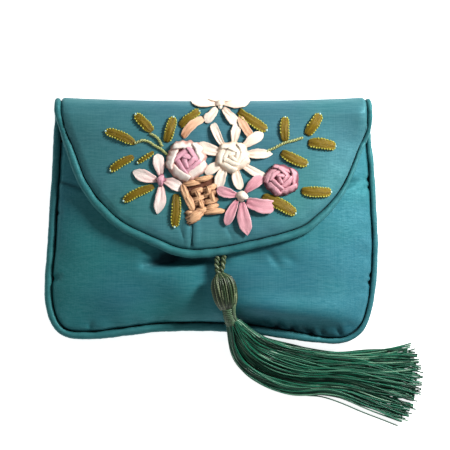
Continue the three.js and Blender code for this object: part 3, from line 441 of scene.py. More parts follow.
FLAP_FOLDS = [
    (186, 211, 192, 226, 0.8, 0.6), (192, 226, 191.6, 247, 1.1, 0.5), (186, 216, 188.6, 245, -0.5, 0.9),
    (196, 216, 196.6, 245, -0.35, 1.0), (179, 224, 186, 242, 0.25, 0.7),
    (226, 226, 233, 240, 0.35, 0.8), (250, 231, 242, 240, 0.3, 0.8),
    (90, 152, 340, 150, 0.3, 9.0), (205, 112, 208, 150, 0.25, 2.0), (262, 150, 285, 175, 0.25, 2.5),
    (112, 190, 150, 205, -0.25, 4.0), (300, 205, 330, 175, -0.25, 4.0),
]
print("grooves of the pocket:", len(POCKET_FOLDS + SEAM_PULLS + RIM_NOTCHES))
print("grooves of the flap:", len(FLAP_FOLDS))

# %% [markdown]
# The belly of the pocket swells quickly from its seams and sinks a little towards its mouth. The
# flap lies on its piping, its piping lies on the belly, and towards the fold it turns over in a
# flattened half round.

# %% Heights of the cloth
def pocket_belly(x, y):
    """Outer surface of the pocket before its folds."""
    reach = np.where(x < 0, -side_x(y, False), side_x(y, True))
    u = np.minimum(1, np.abs(x) / reach)
    foot = bottom_y(np.clip(x, -reach, reach))
    t = np.maximum(0, (y - foot) / (MOUTH_Y - foot))
    across = (1 - u**3.2) ** 0.75
    full = mix(3.2, 8.0, smooth((x / MM + 20) / 40))
    rising = (1 - (1 - np.minimum(t, 0.5) / 0.5) ** full) ** 0.8
    upwards = np.where(t < 0.5, rising, 1 - 0.34 * smooth((t - 0.5) / 0.6))
    return SEAM_HEIGHT + FIT_GAP / 2 + POCKET + POCKET_RISE * across * upwards


def back_height(u, v):
    """Middle of the outer panel where it makes the back: flat, with its rim turned up."""
    outwards = np.minimum(1, (np.abs(u) ** 8 + v**8) ** (1 / 8))
    rise = np.maximum(0, (outwards - BACK_FLAT) / (1 - BACK_FLAT))
    return mix(PANEL / 2, SEAM_HEIGHT - FIT_GAP / 2 - PANEL / 2, rise**3)


def fold_bulge(u):
    """How far the fold stands out beyond its start."""
    return FOLD_REACH - FOLD_DIP * (1 - u * u)


SLOPE_STEP = 0.05 * MM       # over which a slope is measured


def flap_height(x, y):
    """Middle of the outer panel where it makes the flap."""
    step = SLOPE_STEP
    low = np.minimum(y, MOUTH_Y)
    here = pocket_belly(x, low)
    slope = np.hypot(pocket_belly(x + step, low) - here, here - pocket_belly(x, low - step)) / step
    rest = here + (FIT_GAP + PIPING) * np.hypot(1, np.minimum(1, slope))
    from_fold = smooth((FOLD_START - y) / (FOLD_START - MOUTH_Y))
    relief = groove(FLAP_FOLDS, x, y) - 0.12 * MM * swell(x, y, 17 * MM, 5)
    return mix(PANEL / 2 + FOLD_HEIGHT, rest, from_fold) - relief * from_fold


print("middle of the flap, in mm above the table:", round(float(flap_height(0.0, 0.0)) / MM, 1))

# %% [markdown]
# ## Panels of cloth
#
# A grid is the natural start for a cloth: its rows and columns are the threads. It is added flat,
# laid on the patch above, and pulled at its seams. The Solidify modifier then gives it its wadding,
# with a vertex group that thins it towards the rim, so the satin rolls down into the ditch of the
# piping as a stuffed edge does.

# %% Lay a grid of points as a mesh
def grid_object(name, points):
    """A mesh from a table of points with one quad between each four neighbours."""
    rows, columns = points.shape[:2]
    bpy.ops.mesh.primitive_grid_add(x_subdivisions=columns - 1, y_subdivisions=rows - 1, size=2)
    piece = bpy.context.object
    piece.name = piece.data.name = name
    flat = np.empty(3 * len(piece.data.vertices))
    piece.data.vertices.foreach_get("co", flat)
    flat = flat.reshape(-1, 3)
    j = np.rint((flat[:, 0] + 1) / 2 * (columns - 1)).astype(int)
    i = np.rint((flat[:, 1] + 1) / 2 * (rows - 1)).astype(int)
    piece.data.vertices.foreach_set("co", points[i, j].reshape(-1))
    piece.data.flip_normals()
    piece.data.update()
    return piece, i, j


def normals_of(points):
    """Unit normals of a table of points, on the outer side of the cloth."""
    return unit(np.cross(np.gradient(points, axis=0), np.gradient(points, axis=1)))


# %% How far a point lies from the seams
BETWEEN_SIDES = 7.3 * MM     # so that no two sides have the same puckers


def rim_of(points, sides):
    """How far each point of a table lies from its sewn sides, and where along them."""
    runs = {"first": points[0], "last": points[-1], "left": points[:, 0], "right": points[:, -1]}
    sewn, place, start = [], [], 0.0
    for side in sides:
        far = distances(runs[side])
        sewn.append(runs[side])
        place.append(start + far)
        start += far[-1] + BETWEEN_SIDES
    sewn, place = np.vstack(sewn), np.concatenate(place)
    away, spot = np.empty((2, *points.shape[:2]))
    for i, row in enumerate(points):
        gaps = np.linalg.norm(row[:, None] - sewn[None], axis=2)
        nearest = gaps.argmin(axis=1)
        away[i] = gaps[np.arange(len(row)), nearest]
        spot[i] = place[nearest]
    return away, spot


# %% Puckers beside a seam
def puckers(away, spot, seed, strength):
    """Short waves that a seam pulls into the cloth: strong in places and missing in others."""
    draw = 0.5 + 0.5 * swell(spot, 0 * spot, 31 * MM, seed + 1, 4)
    ripple = swell(spot + 0.25 * away, 0 * spot, 5.4 * MM, seed, 5)
    crest = np.maximum(0, 1 - away / (9 * MM)) ** 2 * (0.3 + 0.7 * smooth(away / (2.2 * MM)))
    return strength * MM * (0.10 + 0.34 * np.clip(draw, 0, 1)) * ripple * crest


# %% [markdown]
# The outer panel is one long piece of cloth: from the bottom seam up the back, over the fold, and
# down as the flap. Its rows are spread so that the fold and the flap, which show, get the most.

# %% Outer panel: back, fold and flap
BACK_ROWS, FOLD_ROWS, FLAP_ROWS, PANEL_COLUMNS = 66, 30, 104, 196


def panel_points():
    """The table of points of the outer panel, before its puckers."""
    across = np.linspace(-1, 1, PANEL_COLUMNS + 1)
    u, v = np.meshgrid(across, np.linspace(1, 0, BACK_ROWS + 1)[:-1] ** 0.85)
    back = np.dstack([back_plan(u, v), back_height(u, v)])
    u, turn = np.meshgrid(across, np.linspace(0, 1, FOLD_ROWS + 1)[:-1])
    low_edge, high_edge = back_plan(u, 0 * turn), flap_plan(u, 0 * turn)
    fold = mix(low_edge, high_edge, turn[..., None])
    low, high = back_height(u, 0 * turn), flap_height(high_edge[..., 0], high_edge[..., 1])
    angle = (turn - 0.5) * math.pi
    fold[..., 0] += u**11 * flap_slack(high_edge[..., 0], high_edge[..., 1])[0] * smooth(turn)
    fold[..., 1] += fold_bulge(u) * np.cos(angle)
    fold = np.dstack([fold, (low + high) / 2 + (high - low) / 2 * np.sin(angle)])
    flap = flap_plan(*np.meshgrid(across, np.linspace(0, 1, FLAP_ROWS + 1) ** 0.92))
    height = flap_height(flap[..., 0], flap[..., 1])
    flap = push_rim(flap, flap_edge, flap_slack(flap[..., 0], flap[..., 1])[0])
    return np.vstack([back, fold, np.dstack([flap, height])])


flat_points = panel_points()
panel_away, panel_spot = rim_of(flat_points, ["first", "left", "right", "last"])
past_the_fold = (np.arange(len(flat_points)) - BACK_ROWS - 0.6 * FOLD_ROWS) / (0.6 * FOLD_ROWS)
on_the_flap = smooth(past_the_fold)[:, None]
panel_lift = puckers(panel_away, panel_spot, 11, 0.75)
panel_lift = panel_lift + 0.65 * MM * on_the_flap * smooth(panel_away / (3.2 * MM))
print("outer panel:", flat_points.shape[0], "by", flat_points.shape[1], "points")

# %% [markdown]
# ## Shot satin
#
# The cloth is a slubbed satin: its weft runs across the purse and is thicker in some threads than in
# others, so the surface is full of fine level streaks. A noise that is stretched along X draws them,
# a second one along Y draws the much fainter warp, and a slow third one lets the teal drift between
# green and blue, as a shot fabric does. Shade is painted into the colour as well: in the deepest
# folds, under the flap and along the bottom seam the satin is painted nearly black, by a share of
# painted shade that the grooves give to each point as an attribute. The effect is a node group,
# because the panels, the piping and the seam share it with other values. Every group here takes a
# place and puts out a colour, a roughness and a height for the bump.

# %% A bench for node trees
class Bench:
    """A node tree and short ways to add nodes to it; values are numbers, colours or sockets."""

    def __init__(self, tree):
        self.tree = tree

    def fill(self, socket, value):
        """Link a socket to an input, or set its value."""
        if isinstance(value, bpy.types.NodeSocket):
            self.tree.links.new(value, socket)
        else:
            socket.default_value = value

    def node(self, kind, links=(), **settings):
        """A node with its settings; links fill its inputs, by name or number."""
        node = self.tree.nodes.new("ShaderNode" + kind)
        for key, value in settings.items():
            setattr(node, key, value)
        for key, value in dict(links).items():
            self.fill(node.inputs[key], value)
        return node

    def maths(self, operation, *values):
        node = self.node("Math", operation=operation)
        for socket, value in zip(node.inputs, values):
            self.fill(socket, value)
        return node.outputs[0]

    def plus(self, a, b):
        return self.maths("ADD", a, b)

    def times(self, a, b):
        return self.maths("MULTIPLY", a, b)

    def mix(self, share, a, b, kind="MIX"):
        """Two colours mixed by a share."""
        node = self.node("Mix", data_type="RGBA", blend_type=kind)
        for key, value in (("Factor", share), ("A", a), ("B", b)):
            self.fill(next(s for s in node.inputs if s.name == key and s.enabled), value)
        return next(s for s in node.outputs if s.enabled)

    def spread(self, value, low, high, to_low=0.0, to_high=1.0):
        """A narrow range of values, widened."""
        return self.node("MapRange", {0: value, 1: low, 2: high, 3: to_low, 4: to_high}).outputs[0]

    def noise(self, place, scale, detail=3.0):
        """Noise drawn out along one axis."""
        turned = self.node("Mapping", {"Vector": place, "Scale": scale}).outputs[0]
        return self.node("TexNoise", {"Vector": turned, "Scale": 1.0, "Detail": detail}).outputs[0]


# %% Effects as node groups
def effect(name, **inputs):
    """An empty group with its inputs, from their first values; _ stands for a space."""
    group = bpy.data.node_groups.new(name, "ShaderNodeTree")
    group.interface.new_socket(name="Place", in_out="INPUT", socket_type="NodeSocketVector")
    for label, value in inputs.items():
        kind = "NodeSocketFloat" if isinstance(value, float) else "NodeSocketColor"
        label = label.replace("_", " ")
        socket = group.interface.new_socket(name=label, in_out="INPUT", socket_type=kind)
        socket.default_value = value if isinstance(value, float) else (*value, 1)
    for label, kind in (("Colour", "Color"), ("Roughness", "Float"), ("Height", "Float")):
        group.interface.new_socket(name=label, in_out="OUTPUT", socket_type="NodeSocket" + kind)
    return Bench(group), group.nodes.new("NodeGroupInput").outputs


def put_out(bench, **results):
    """Link what the group puts out."""
    outs = bench.tree.nodes.new("NodeGroupOutput").inputs
    for label, socket in results.items():
        bench.tree.links.new(socket, outs[label])
    print(f"{bench.tree.name}: {len(bench.tree.nodes)} nodes")


# %% The slub satin group
bench, given = effect(
    "slub_satin", Colour=(0.03, 0.17, 0.18), Second_Colour=(0.03, 0.12, 0.17), Streaks=0.5, Tone=0.0)
place = given["Place"]
weft = bench.spread(bench.noise(place, (120, 1500, 1500)), 0.3, 0.7)
fine_weft = bench.spread(bench.noise(place, (380, 3600, 3600)), 0.35, 0.65)
warp = bench.spread(bench.noise(place, (2600, 70, 2600)), 0.36, 0.64)
drift = bench.spread(bench.noise(place, (22, 30, 30), 2.0), 0.35, 0.65)
fine = bench.plus(bench.times(fine_weft, 0.3), bench.times(warp, 0.2))
threads = bench.plus(bench.times(weft, 0.5), fine)
ground = bench.mix(drift, given["Colour"], given["Second Colour"])
dark = bench.mix(1.0, ground, (0.62, 0.66, 0.68, 1), "MULTIPLY")
light = bench.mix(0.16, ground, (0.42, 0.66, 0.66, 1))
streaked = bench.mix(given["Streaks"], ground, bench.mix(threads, dark, light))
# Tone is a share of painted shade: deep folds, the hollow under the flap and the bottom seam are darkened
# towards near-black.
shaded = bench.mix(given["Tone"], streaked, (0.06, 0.08, 0.10, 1), "MULTIPLY")
rough = bench.spread(threads, 0.2, 0.8, 0.62, 0.48)
put_out(bench, Colour=shaded, Roughness=rough, Height=threads)
satin_effect = bench.tree


# %% Materials from an effect
def grouped_material(name, group, values, bump, surface, place="Object", toned=False):
    """Colour, roughness and bump come from the group; surface is set on the shader itself."""
    material = bpy.data.materials.new(name)
    material.use_nodes = True
    bench = Bench(material.node_tree)
    shader = material.node_tree.nodes["Principled BSDF"].inputs
    node = bench.node("Group", node_tree=group)
    bench.fill(node.inputs["Place"], bench.node("TexCoord").outputs[place])
    # A toned material reads its tone attribute: painted shade on cloth and ribbons, a thread's tone on the
    # tassel.
    if toned:
        tone = bench.node("Attribute", attribute_name="tone")
        bench.fill(node.inputs["Tone"], tone.outputs["Fac"])
    for key, value in values.items():
        node.inputs[key].default_value = value if isinstance(value, (int, float)) else (*value, 1)
    strength, depth = bump
    height = {"Strength": strength, "Distance": depth * MM, "Height": node.outputs["Height"]}
    bench.fill(shader["Base Color"], node.outputs["Colour"])
    bench.fill(shader["Roughness"], node.outputs["Roughness"])
    bench.fill(shader["Normal"], bench.node("Bump", height).outputs[0])
    for key, value in surface.items():
        shader[key].default_value = value
    print("material:", name)
    return material


def teal(name, colour, second, toned=False):
    """A satin that drifts between two colours."""
    gloss = {"Metallic": 0.15, "Specular Tint": (0.45, 0.85, 0.95, 1), "IOR": 1.4}
    values = {"Colour": colour, "Second Colour": second, "Streaks": 0.5}
    return grouped_material(name, satin_effect, values, (0.5, 0.10), gloss, toned=toned)


flap_satin = teal("flap_satin", (0.036, 0.195, 0.205), (0.042, 0.165, 0.215), True)
satin = teal("teal_satin", (0.017, 0.200, 0.212), (0.016, 0.150, 0.204), True)
piping_satin = teal("piping_satin", (0.018, 0.165, 0.172), (0.018, 0.140, 0.168))

# %% [markdown]
# A finished piece says three things: its material, the body that it rides on, and the solids that
# it stands for. One helper says all of them.

# %% Finish a piece
BODY = list(frame["bodies"])[0]


def apply_all(piece):
    """Turn the modifiers of a piece into its shape."""
    bpy.ops.object.select_all(action="DESELECT")
    piece.select_set(True)
    bpy.context.view_layer.objects.active = piece
    for modifier in list(piece.modifiers):
        bpy.ops.object.modifier_apply(modifier=modifier.name)


def finish_piece(piece, material, slot, *nodes):
    """Nodes are the solids that the piece stands for; a piece without any is an extra one."""
    apply_all(piece)
    bpy.ops.object.shade_smooth()
    piece.data.materials.clear()
    piece.data.materials.append(material)
    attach(piece, BODY)
    if nodes:
        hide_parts(*nodes)
    piece.data.calc_loop_triangles()
    print(f"{piece.name}: {len(piece.data.loop_triangles)} triangles")


# %% Painted shade and wadding of a cloth
def set_tone(piece, values):
    """The tone of each point, for the material: painted shade on the cloth and the ribbons, a darker or
    lighter thread on the tassel; on cloth, set before the wadding doubles the points.
    """
    tone = piece.data.attributes.new("tone", "FLOAT", "POINT")
    tone.data.foreach_set("value", np.clip(values, 0, 1).astype(np.float32))


THIN_RIM = 0.15              # share of the thickness that is left at the rim


def wad(piece, i, j, away, thickness, offset, roll):
    """Give a cloth its wadding, thinned towards the rim."""
    near = 1 - np.minimum(1, away / roll)
    weight = np.sqrt(1 - near**2)
    group = piece.vertex_groups.new(name="wadding")
    for k, value in enumerate(weight[i, j]):
        group.add([k], float(value), "REPLACE")
    solid = piece.modifiers.new("wadding", "SOLIDIFY")
    solid.thickness = thickness
    solid.offset = offset
    solid.vertex_group = group.name
    solid.thickness_vertex_group = THIN_RIM
    apply_all(piece)
    piece.vertex_groups.clear()


# %% The outer panel
def print_flat_size(points):
    """How large a cloth is when it lies flat."""
    down, across = np.gradient(points, axis=0), np.gradient(points, axis=1)
    area = np.linalg.norm(np.cross(down, across), axis=2).sum()
    length = np.linalg.norm(np.diff(points, axis=0), axis=2).sum(axis=0)
    print("flat size in mm: longest", round(1000 * length.max(), 1), "area in cm2", round(1e4 * area, 1))


points = flat_points + normals_of(flat_points) * panel_lift[..., None]
points[..., 2] = np.maximum(points[..., 2], PANEL / 2)
outer_panel, i, j = grid_object("outer_panel_cloth", points)
# Painted shade along the seam down the flap's tip; its share is stored as the tone.
on_front = on_the_flap * np.ones(points.shape[:2])
shade = on_front * groove(FLAP_FOLDS[:2], points[..., 0], points[..., 1]) / MM
set_tone(outer_panel, shade[i, j])
wad(outer_panel, i, j, panel_away, PANEL, 0, 1.5 * MM)
finish_piece(outer_panel, flap_satin, "satin", "back_and_flap")
print_flat_size(points)

# %% [markdown]
# The pocket is the front of the body. It is sewn to the back round three sides and stays open at its
# mouth, which the flap hides. It gets the deepest folds, because nothing stretches it.

# %% The pocket
POCKET_ROWS, POCKET_COLUMNS = 132, 200
u = np.linspace(-1, 1, POCKET_COLUMNS + 1)[None, :] * np.ones((POCKET_ROWS + 1, 1))
v = np.linspace(0, 1, POCKET_ROWS + 1)[:, None] ** 0.9 * np.ones_like(u)
plan = pocket_plan(u, v)
belly = pocket_belly(plan[..., 0], plan[..., 1])
notches = groove(RIM_NOTCHES, plan[..., 0], plan[..., 1])
plan = push_rim(plan, body_edge, body_slack(plan[..., 0])[0] - notches)
stuffed = np.sqrt(np.maximum(0, (belly - SEAM_HEIGHT - FIT_GAP / 2 - POCKET) / POCKET_RISE))
relief = groove(POCKET_FOLDS, plan[..., 0], plan[..., 1])
relief = relief - 0.22 * MM * swell(plan[..., 0], plan[..., 1], 19 * MM, 3)
points = np.dstack([plan, belly - relief * stuffed])
away, spot = rim_of(points, ["left", "last", "right"])
points = points + normals_of(points) * puckers(away, spot, 21, 1.0)[..., None]
points[..., 2] -= groove(SEAM_PULLS, plan[..., 0], plan[..., 1]) * smooth(away / (1.5 * MM))
points[..., 2] -= 1.1 * MM * (1 - np.minimum(1, away / (1.6 * MM))) ** 2
pocket, i, j = grid_object("front_pocket_cloth", points)
# Painted shade in the hollow under the flap, along the bottom seam and in the pucker blobs; its share is
# stored as the tone.
set_tone(pocket, (groove(POCKET_SHADES, plan[..., 0], plan[..., 1]) / MM)[i, j])
wad(pocket, i, j, away, POCKET, -1, 1.2 * MM)
finish_piece(pocket, satin, "satin", "front_pocket")
print_flat_size(points)

# %% [markdown]
# ## Piping
#
# Piping is a cord covered with a strip of the satin, sewn into the seam by a flat flange. A curve
# with a round bevel makes the cord: the curve is turned into a mesh, and its skin is wrinkled a
# little, because the strip is cut on the bias and drawn tight. The flange closes the ditch between
# the cord and the cloth; it is painted near-black, as painted shade of the ditch.

# %% Cords along runs of points
def cord_object(name, runs, radius, sides, radii=None):
    """One mesh with a round cord along each run of points; radii are shares of the radius."""
    bpy.ops.curve.primitive_nurbs_path_add()
    piece = bpy.context.object
    piece.name = piece.data.name = name
    curve = piece.data
    curve.splines.clear()
    curve.dimensions = "3D"
    curve.bevel_depth = radius
    curve.bevel_resolution = (sides - 4) // 2
    curve.use_fill_caps = True
    for n, run in enumerate(runs):
        spline = curve.splines.new("POLY")
        spline.points.add(len(run) - 1)
        spline.points.foreach_set("co", np.column_stack([run, np.ones(len(run))]).reshape(-1))
        if radii is not None:
            spline.points.foreach_set("radius", radii[n])
    bpy.ops.object.select_all(action="DESELECT")
    piece.select_set(True)
    bpy.ops.object.convert(target="MESH")
    piece = bpy.context.object
    piece.data.transform(piece.matrix_world)
    piece.matrix_world.identity()
    return piece


# %% A wrinkled skin
def wrinkle(piece, depth, length, seed):
    """Push the skin in and out along its normals."""
    mesh = piece.data
    co = np.empty(3 * len(mesh.vertices))
    mesh.vertices.foreach_get("co", co)
    co = co.reshape(-1, 3)
    normal = np.empty(3 * len(mesh.vertices))
    mesh.vertex_normals.foreach_get("vector", normal)
    ripple = swell(co[:, 0] + co[:, 2], co[:, 1] + co[:, 2], length, seed, 9)
    mesh.vertices.foreach_set("co", (co + depth * ripple[:, None] * normal.reshape(-1, 3)).reshape(-1))
    mesh.update()


# %% Piping of the body
CORD_STEP = 0.7 * MM
body_run = plan_curve(BODY_OUTLINE, BODY_WIDTH / 2, BODY_HEIGHT, PIPING)
run_start, run_end = place_at_y(body_run, FOLD_START), place_at_y(body_run, FOLD_START, True)
body_path = point_at(body_run, np.linspace(run_start, run_end, 400))
body_path = even_run(np.column_stack([body_path, np.full(400, SEAM_HEIGHT)]), CORD_STEP)
reach, full = body_slack(body_path[:, 0])
body_path = moved_out(body_path, reach, full, 0.3 * MM)
body_path[:, 2] -= 0.5 * (1 - full) * PIPING
count = np.arange(len(body_path))
from_end = np.minimum(count, count[::-1]) * CORD_STEP
full = full * mix(0.45, 1.0, smooth(from_end / (9 * MM)))
body_piping = cord_object("body_piping_cord", [body_path], PIPING, 14, [full])
wrinkle(body_piping, 0.09 * MM, 7 * MM, 31)
wrinkle(body_piping, 0.05 * MM, 1.6 * MM, 32)
print("body piping in mm:", round(distances(body_path)[-1] / MM))
print("uv maps of a cord:", [layer.name for layer in body_piping.data.uv_layers])

# %% Piping of the flap, which starts beside the two ends of the fold
flap_run = plan_curve(FLAP_OUTLINE, FLAP_WIDTH / 2, FLAP_DROP, PIPING)


def fold_end(column, side):
    """The piping's middle beside one end of the fold, from the back up to the flap."""
    share = np.linspace(0.05, 0.97, 24)
    run = point_at(flat_points[BACK_ROWS: BACK_ROWS + FOLD_ROWS + 1, column], share * FOLD_ROWS)
    run[:, 0] += side * (0.3 * MM + flap_slack(run[:, 0], run[:, 1])[1] * PIPING)
    run[:, 1] -= 0.4 * MM * np.sin(math.pi * share)
    run[:, 2] += (SEAM_HEIGHT - flat_points[BACK_ROWS, column, 2]) * (1 - share)
    return run


run_start, run_end = place_at_y(flap_run, FOLD_START), place_at_y(flap_run, FOLD_START, True)
edge = point_at(flap_run, np.linspace(run_start, run_end, 360))
edge = np.column_stack([edge, flap_height(edge[:, 0], edge[:, 1])])
reach, full = flap_slack(edge[:, 0], edge[:, 1])
edge = moved_out(edge, reach, full, 0.25 * MM)
edge[:, 2] -= 0.7 * (1 - full) * PIPING
flap_path = even_run(np.vstack([fold_end(0, -1), edge, fold_end(-1, 1)[::-1]]), CORD_STEP)
full = flap_slack(flap_path[:, 0], flap_path[:, 1])[1]
flap_piping = cord_object("flap_piping_cord", [flap_path], PIPING, 14, [full])
wrinkle(flap_piping, 0.08 * MM, 7 * MM, 33)
wrinkle(flap_piping, 0.05 * MM, 1.6 * MM, 34)
print("flap piping in mm:", round(distances(flap_path)[-1] / MM))


# %% The flanges, from the middle of each cord to just inside the cloth's edge
def flange(name, path, inwards, width, thickness):
    """A strip of cloth beside a cord."""
    rows = np.stack([path + inwards * (reach * width)[:, None] for reach in np.linspace(0, 1, 4)])
    piece, _, _ = grid_object(name, rows)
    solid = piece.modifiers.new("strip", "SOLIDIFY")
    solid.thickness = thickness
    solid.offset = 0
    apply_all(piece)
    return piece


def inward(path):
    """Level directions from a run towards the purse's inside."""
    side = np.column_stack([beside(path), np.zeros(len(path))])
    beside_fold = path[:, 1] > FOLD_START + 0.2 * MM
    side[beside_fold] = 0
    side[beside_fold, 0] = -np.sign(path[beside_fold, 0])
    return side


width = body_slack(body_path[:, 0])[1] * PIPING + 1.5 * MM
body_flange = flange("body_flange", body_path - [0, 0, 0.75 * MM], inward(body_path), width, 0.2 * MM)
width = flap_slack(flap_path[:, 0], flap_path[:, 1])[1] * PIPING + 1.2 * MM
flap_flange = flange("flap_flange", flap_path - [0, 0, 0.35 * MM], inward(flap_path), width, 0.3 * MM)


# %% Join and finish the piping
def join(first, *others):
    """One piece of several."""
    bpy.ops.object.select_all(action="DESELECT")
    for piece in (first, *others):
        piece.select_set(True)
    bpy.context.view_layer.objects.active = first
    bpy.ops.object.join()
    return first


# The flanges are painted near-black and dull: painted shade in the ditch beside each cord.
ditch_shade_colours = {"Colour": (0.001, 0.010, 0.014), "Second Colour": (0.001, 0.007, 0.012), "Streaks": 0.3}
dull = {"Specular IOR Level": 0.05}
ditch_shade_cloth = grouped_material("seam_in_shadow", satin_effect, ditch_shade_colours, (0.3, 0.05), dull)
finish_piece(body_piping, piping_satin, "piping", "body_piping")
finish_piece(flap_piping, piping_satin, "piping", "flap_piping")
finish_piece(body_flange, ditch_shade_cloth, "piping")
finish_piece(flap_flange, ditch_shade_cloth, "piping")

# %% [markdown]
# ## Laying stitches on the flap
#
# Every stitch has to sit on the satin, wherever its folds are. The flap's formula gives a first
# guess of the place, and it also carries a stitch round the fold. A BVH tree of the finished cloth
# then gives the nearest point of the real surface and its normal, and the stitch is lifted from it.

# %% A point above the flap
panel_mesh = outer_panel.data
panel_tree = BVHTree.FromPolygons(
    [vertex.co for vertex in panel_mesh.vertices],
    [polygon.vertices for polygon in panel_mesh.polygons],
)
ROUND_FOLD = 0.9             # past this share of the bulge, distance is counted round the fold
print("faces to lay stitches on:", len(panel_mesh.polygons))


def flap_middle(x, y):
    """The middle of the flap's cloth; past the start of the fold it goes round."""
    ends = flap_plan(np.array([-1.0, 1.0]), np.array([0.0, 0.0]))[:, 0]
    u = np.clip(2 * (x - ends[0]) / (ends[1] - ends[0]) - 1, -1, 1)
    bulge = fold_bulge(u)
    share = (y - FOLD_START) / bulge
    steep = math.asin(ROUND_FOLD)
    turn = np.where(share < ROUND_FOLD, np.arcsin(np.clip(share, 0, ROUND_FOLD)),
                    steep + (share - ROUND_FOLD) / math.cos(steep))
    low, high = back_height(u, 0 * u), flap_height(x, np.minimum(y, FOLD_START))
    round_z = (low + high) / 2 + (high - low) / 2 * np.cos(turn)
    over = share > 0
    return np.stack([x, np.where(over, FOLD_START + bulge * np.sin(turn), y),
                     np.where(over, round_z, flap_height(x, y))], axis=-1)


def on_flap(x, y, lift):
    """Points at heights above the flap's satin; x, y and lift are tables of one shape."""
    x, y, lift = np.broadcast_arrays(x, y, lift)
    step = SLOPE_STEP
    along_x = flap_middle(x + step, y) - flap_middle(x - step, y)
    along_y = flap_middle(x, y + step) - flap_middle(x, y - step)
    guess = flap_middle(x, y) + unit(np.cross(along_x, along_y)) * (PANEL / 2 + 0.6 * MM)
    laid = np.empty(guess.shape)
    for k in np.ndindex(x.shape):
        place, facing, _, _ = panel_tree.find_nearest(Vector(guess[k]))
        laid[k] = np.array(place) + np.array(facing) * lift[k]
    laid[..., 2] = np.maximum(laid[..., 2], 0.2 * MM)    # nothing goes under the purse
    return laid


# %% [markdown]
# ## Silk ribbon
#
# Embroidery ribbon is a flat woven silk tape, about 4 mm wide. Its threads run along it, so its
# gloss breaks into fine lengthwise lines, and it turns lighter where it is stretched over a crown.
# Where it dives into the cloth, in its creases and behind the lips of its wraps, shade is painted in:
# the foot colour is painted shade. The group reads the ribbon's own UV map, where V runs along the
# ribbon and U across it.

# %% The ribbon silk group
bench, given = effect(
    "ribbon_silk", Colour=(0.9, 0.8, 0.7), Foot_Colour=(0.8, 0.5, 0.5), Line_Colour=(0.7, 0.4, 0.3),
    Rim_Colour=(0.7, 0.4, 0.3), Foot_Reach=0.5, Lines=0.4, Rim=0.4, Tone=0.0, Crease=0.85, Lip=0.0)
place = given["Place"]
split = bench.node("SeparateXYZ", {0: place}).outputs
lines = bench.spread(bench.noise(place, (26, 1.6, 1)), 0.32, 0.68)
fine_lines = bench.spread(bench.noise(place, (70, 4.0, 1)), 0.35, 0.65)
cloudy = bench.spread(bench.noise(place, (3, 3, 1), 2.0), 0.3, 0.7)
# Foot: painted shade, darkest at the base of a stitch (V = 0) where the ribbon dives into the cloth, a
# little uneven.
foot = bench.maths("POWER", bench.spread(split["Y"], 0.0, 1.0, 1.0, 0.0), 1.6)
foot = bench.times(bench.times(foot, given["Foot Reach"]), bench.plus(cloudy, 0.5))
# Lip and crease: painted shade behind the inner edge of a wrap and in the creases, by the tone.
lip = bench.times(bench.spread(split["X"], 0.02, 0.15, 1.0, 0.0), given["Lip"])
crease = bench.maths("MAXIMUM", bench.spread(given["Tone"], 0.07, 0.42), lip)
line_share = bench.times(bench.maths("POWER", lines, 2.0), given["Lines"])
from_middle = bench.maths("ABSOLUTE", bench.maths("SUBTRACT", split["X"], 0.5))
rim = bench.times(bench.spread(from_middle, 0.38, 0.46), given["Rim"])
ground = bench.mix(foot, given["Colour"], given["Foot Colour"])
lined = bench.mix(line_share, ground, given["Line Colour"])
rimmed = bench.mix(rim, lined, given["Rim Colour"])
creased = bench.mix(bench.times(crease, given["Crease"]), rimmed, given["Foot Colour"])
grain = bench.plus(bench.times(lines, 0.6), bench.times(fine_lines, 0.4))
put_out(bench, Colour=creased, Roughness=bench.spread(fine_lines, 0, 1, 0.36, 0.55), Height=grain)
ribbon_effect = bench.tree


# %% Silks
def silk(name, colour, foot, line, rim, reach, lines, rim_share=0.4, gloss=0.5, lip=None):
    """Foot is the colour of painted shade where the ribbon dives into the cloth; lip paints that shade on
    the inner edge of a wrap, and where it is given, creases get it as well.
    """
    values = {"Colour": colour, "Foot Colour": foot, "Line Colour": line, "Rim Colour": rim,
              "Foot Reach": reach, "Lines": lines, "Rim": rim_share, "Lip": lip or 0.0}
    surface = {"Sheen Weight": 0.1 * gloss, "Specular IOR Level": gloss, "IOR": 1.45}
    return grouped_material(name, ribbon_effect, values, (0.6, 0.12), surface, "UV", lip is not None)


# The crimson below is the colour of painted shade in the creases and at the feet of the pink wraps, and the
# deep tan is painted shade for the gaps in the basket; the tan is the basket ribbon's own colour.
TAN, CRIMSON_SHADE = (0.42, 0.16, 0.06), (0.15, 0.008, 0.03)
cream_silk = silk("cream_silk", (0.95, 0.87, 0.76), (0.84, 0.58, 0.44), (0.80, 0.58, 0.45),
                  (0.66, 0.44, 0.32), 0.6, 0.4)
blush_silk = silk("blush_silk", (0.95, 0.87, 0.81), (0.76, 0.38, 0.38), (0.78, 0.50, 0.46),
                  (0.62, 0.36, 0.32), 0.8, 0.4)
rose_silk = silk("rose_silk", (0.76, 0.39, 0.44), (0.44, 0.11, 0.17), (0.50, 0.17, 0.23),
                 (0.88, 0.60, 0.62), 0.7, 0.55)
leaf_silk = silk("olive_silk", (0.245, 0.162, 0.006), (0.10, 0.06, 0.004), (0.055, 0.036, 0.003),
                 (0.30, 0.30, 0.03), 0.6, 0.85, 0.75, 0.25)
peach_silk = silk("peach_silk", (0.86, 0.56, 0.38), (0.52, 0.20, 0.08), (0.60, 0.28, 0.14),
                  (0.90, 0.68, 0.52), 0.8, 0.5)
basket_gap_shade = silk("basket_gap_shade_silk", (0.16, 0.045, 0.016), (0.05, 0.012, 0.004), (0.06, 0.015, 0.005),
                TAN, 0.5, 0.5, 0.0)
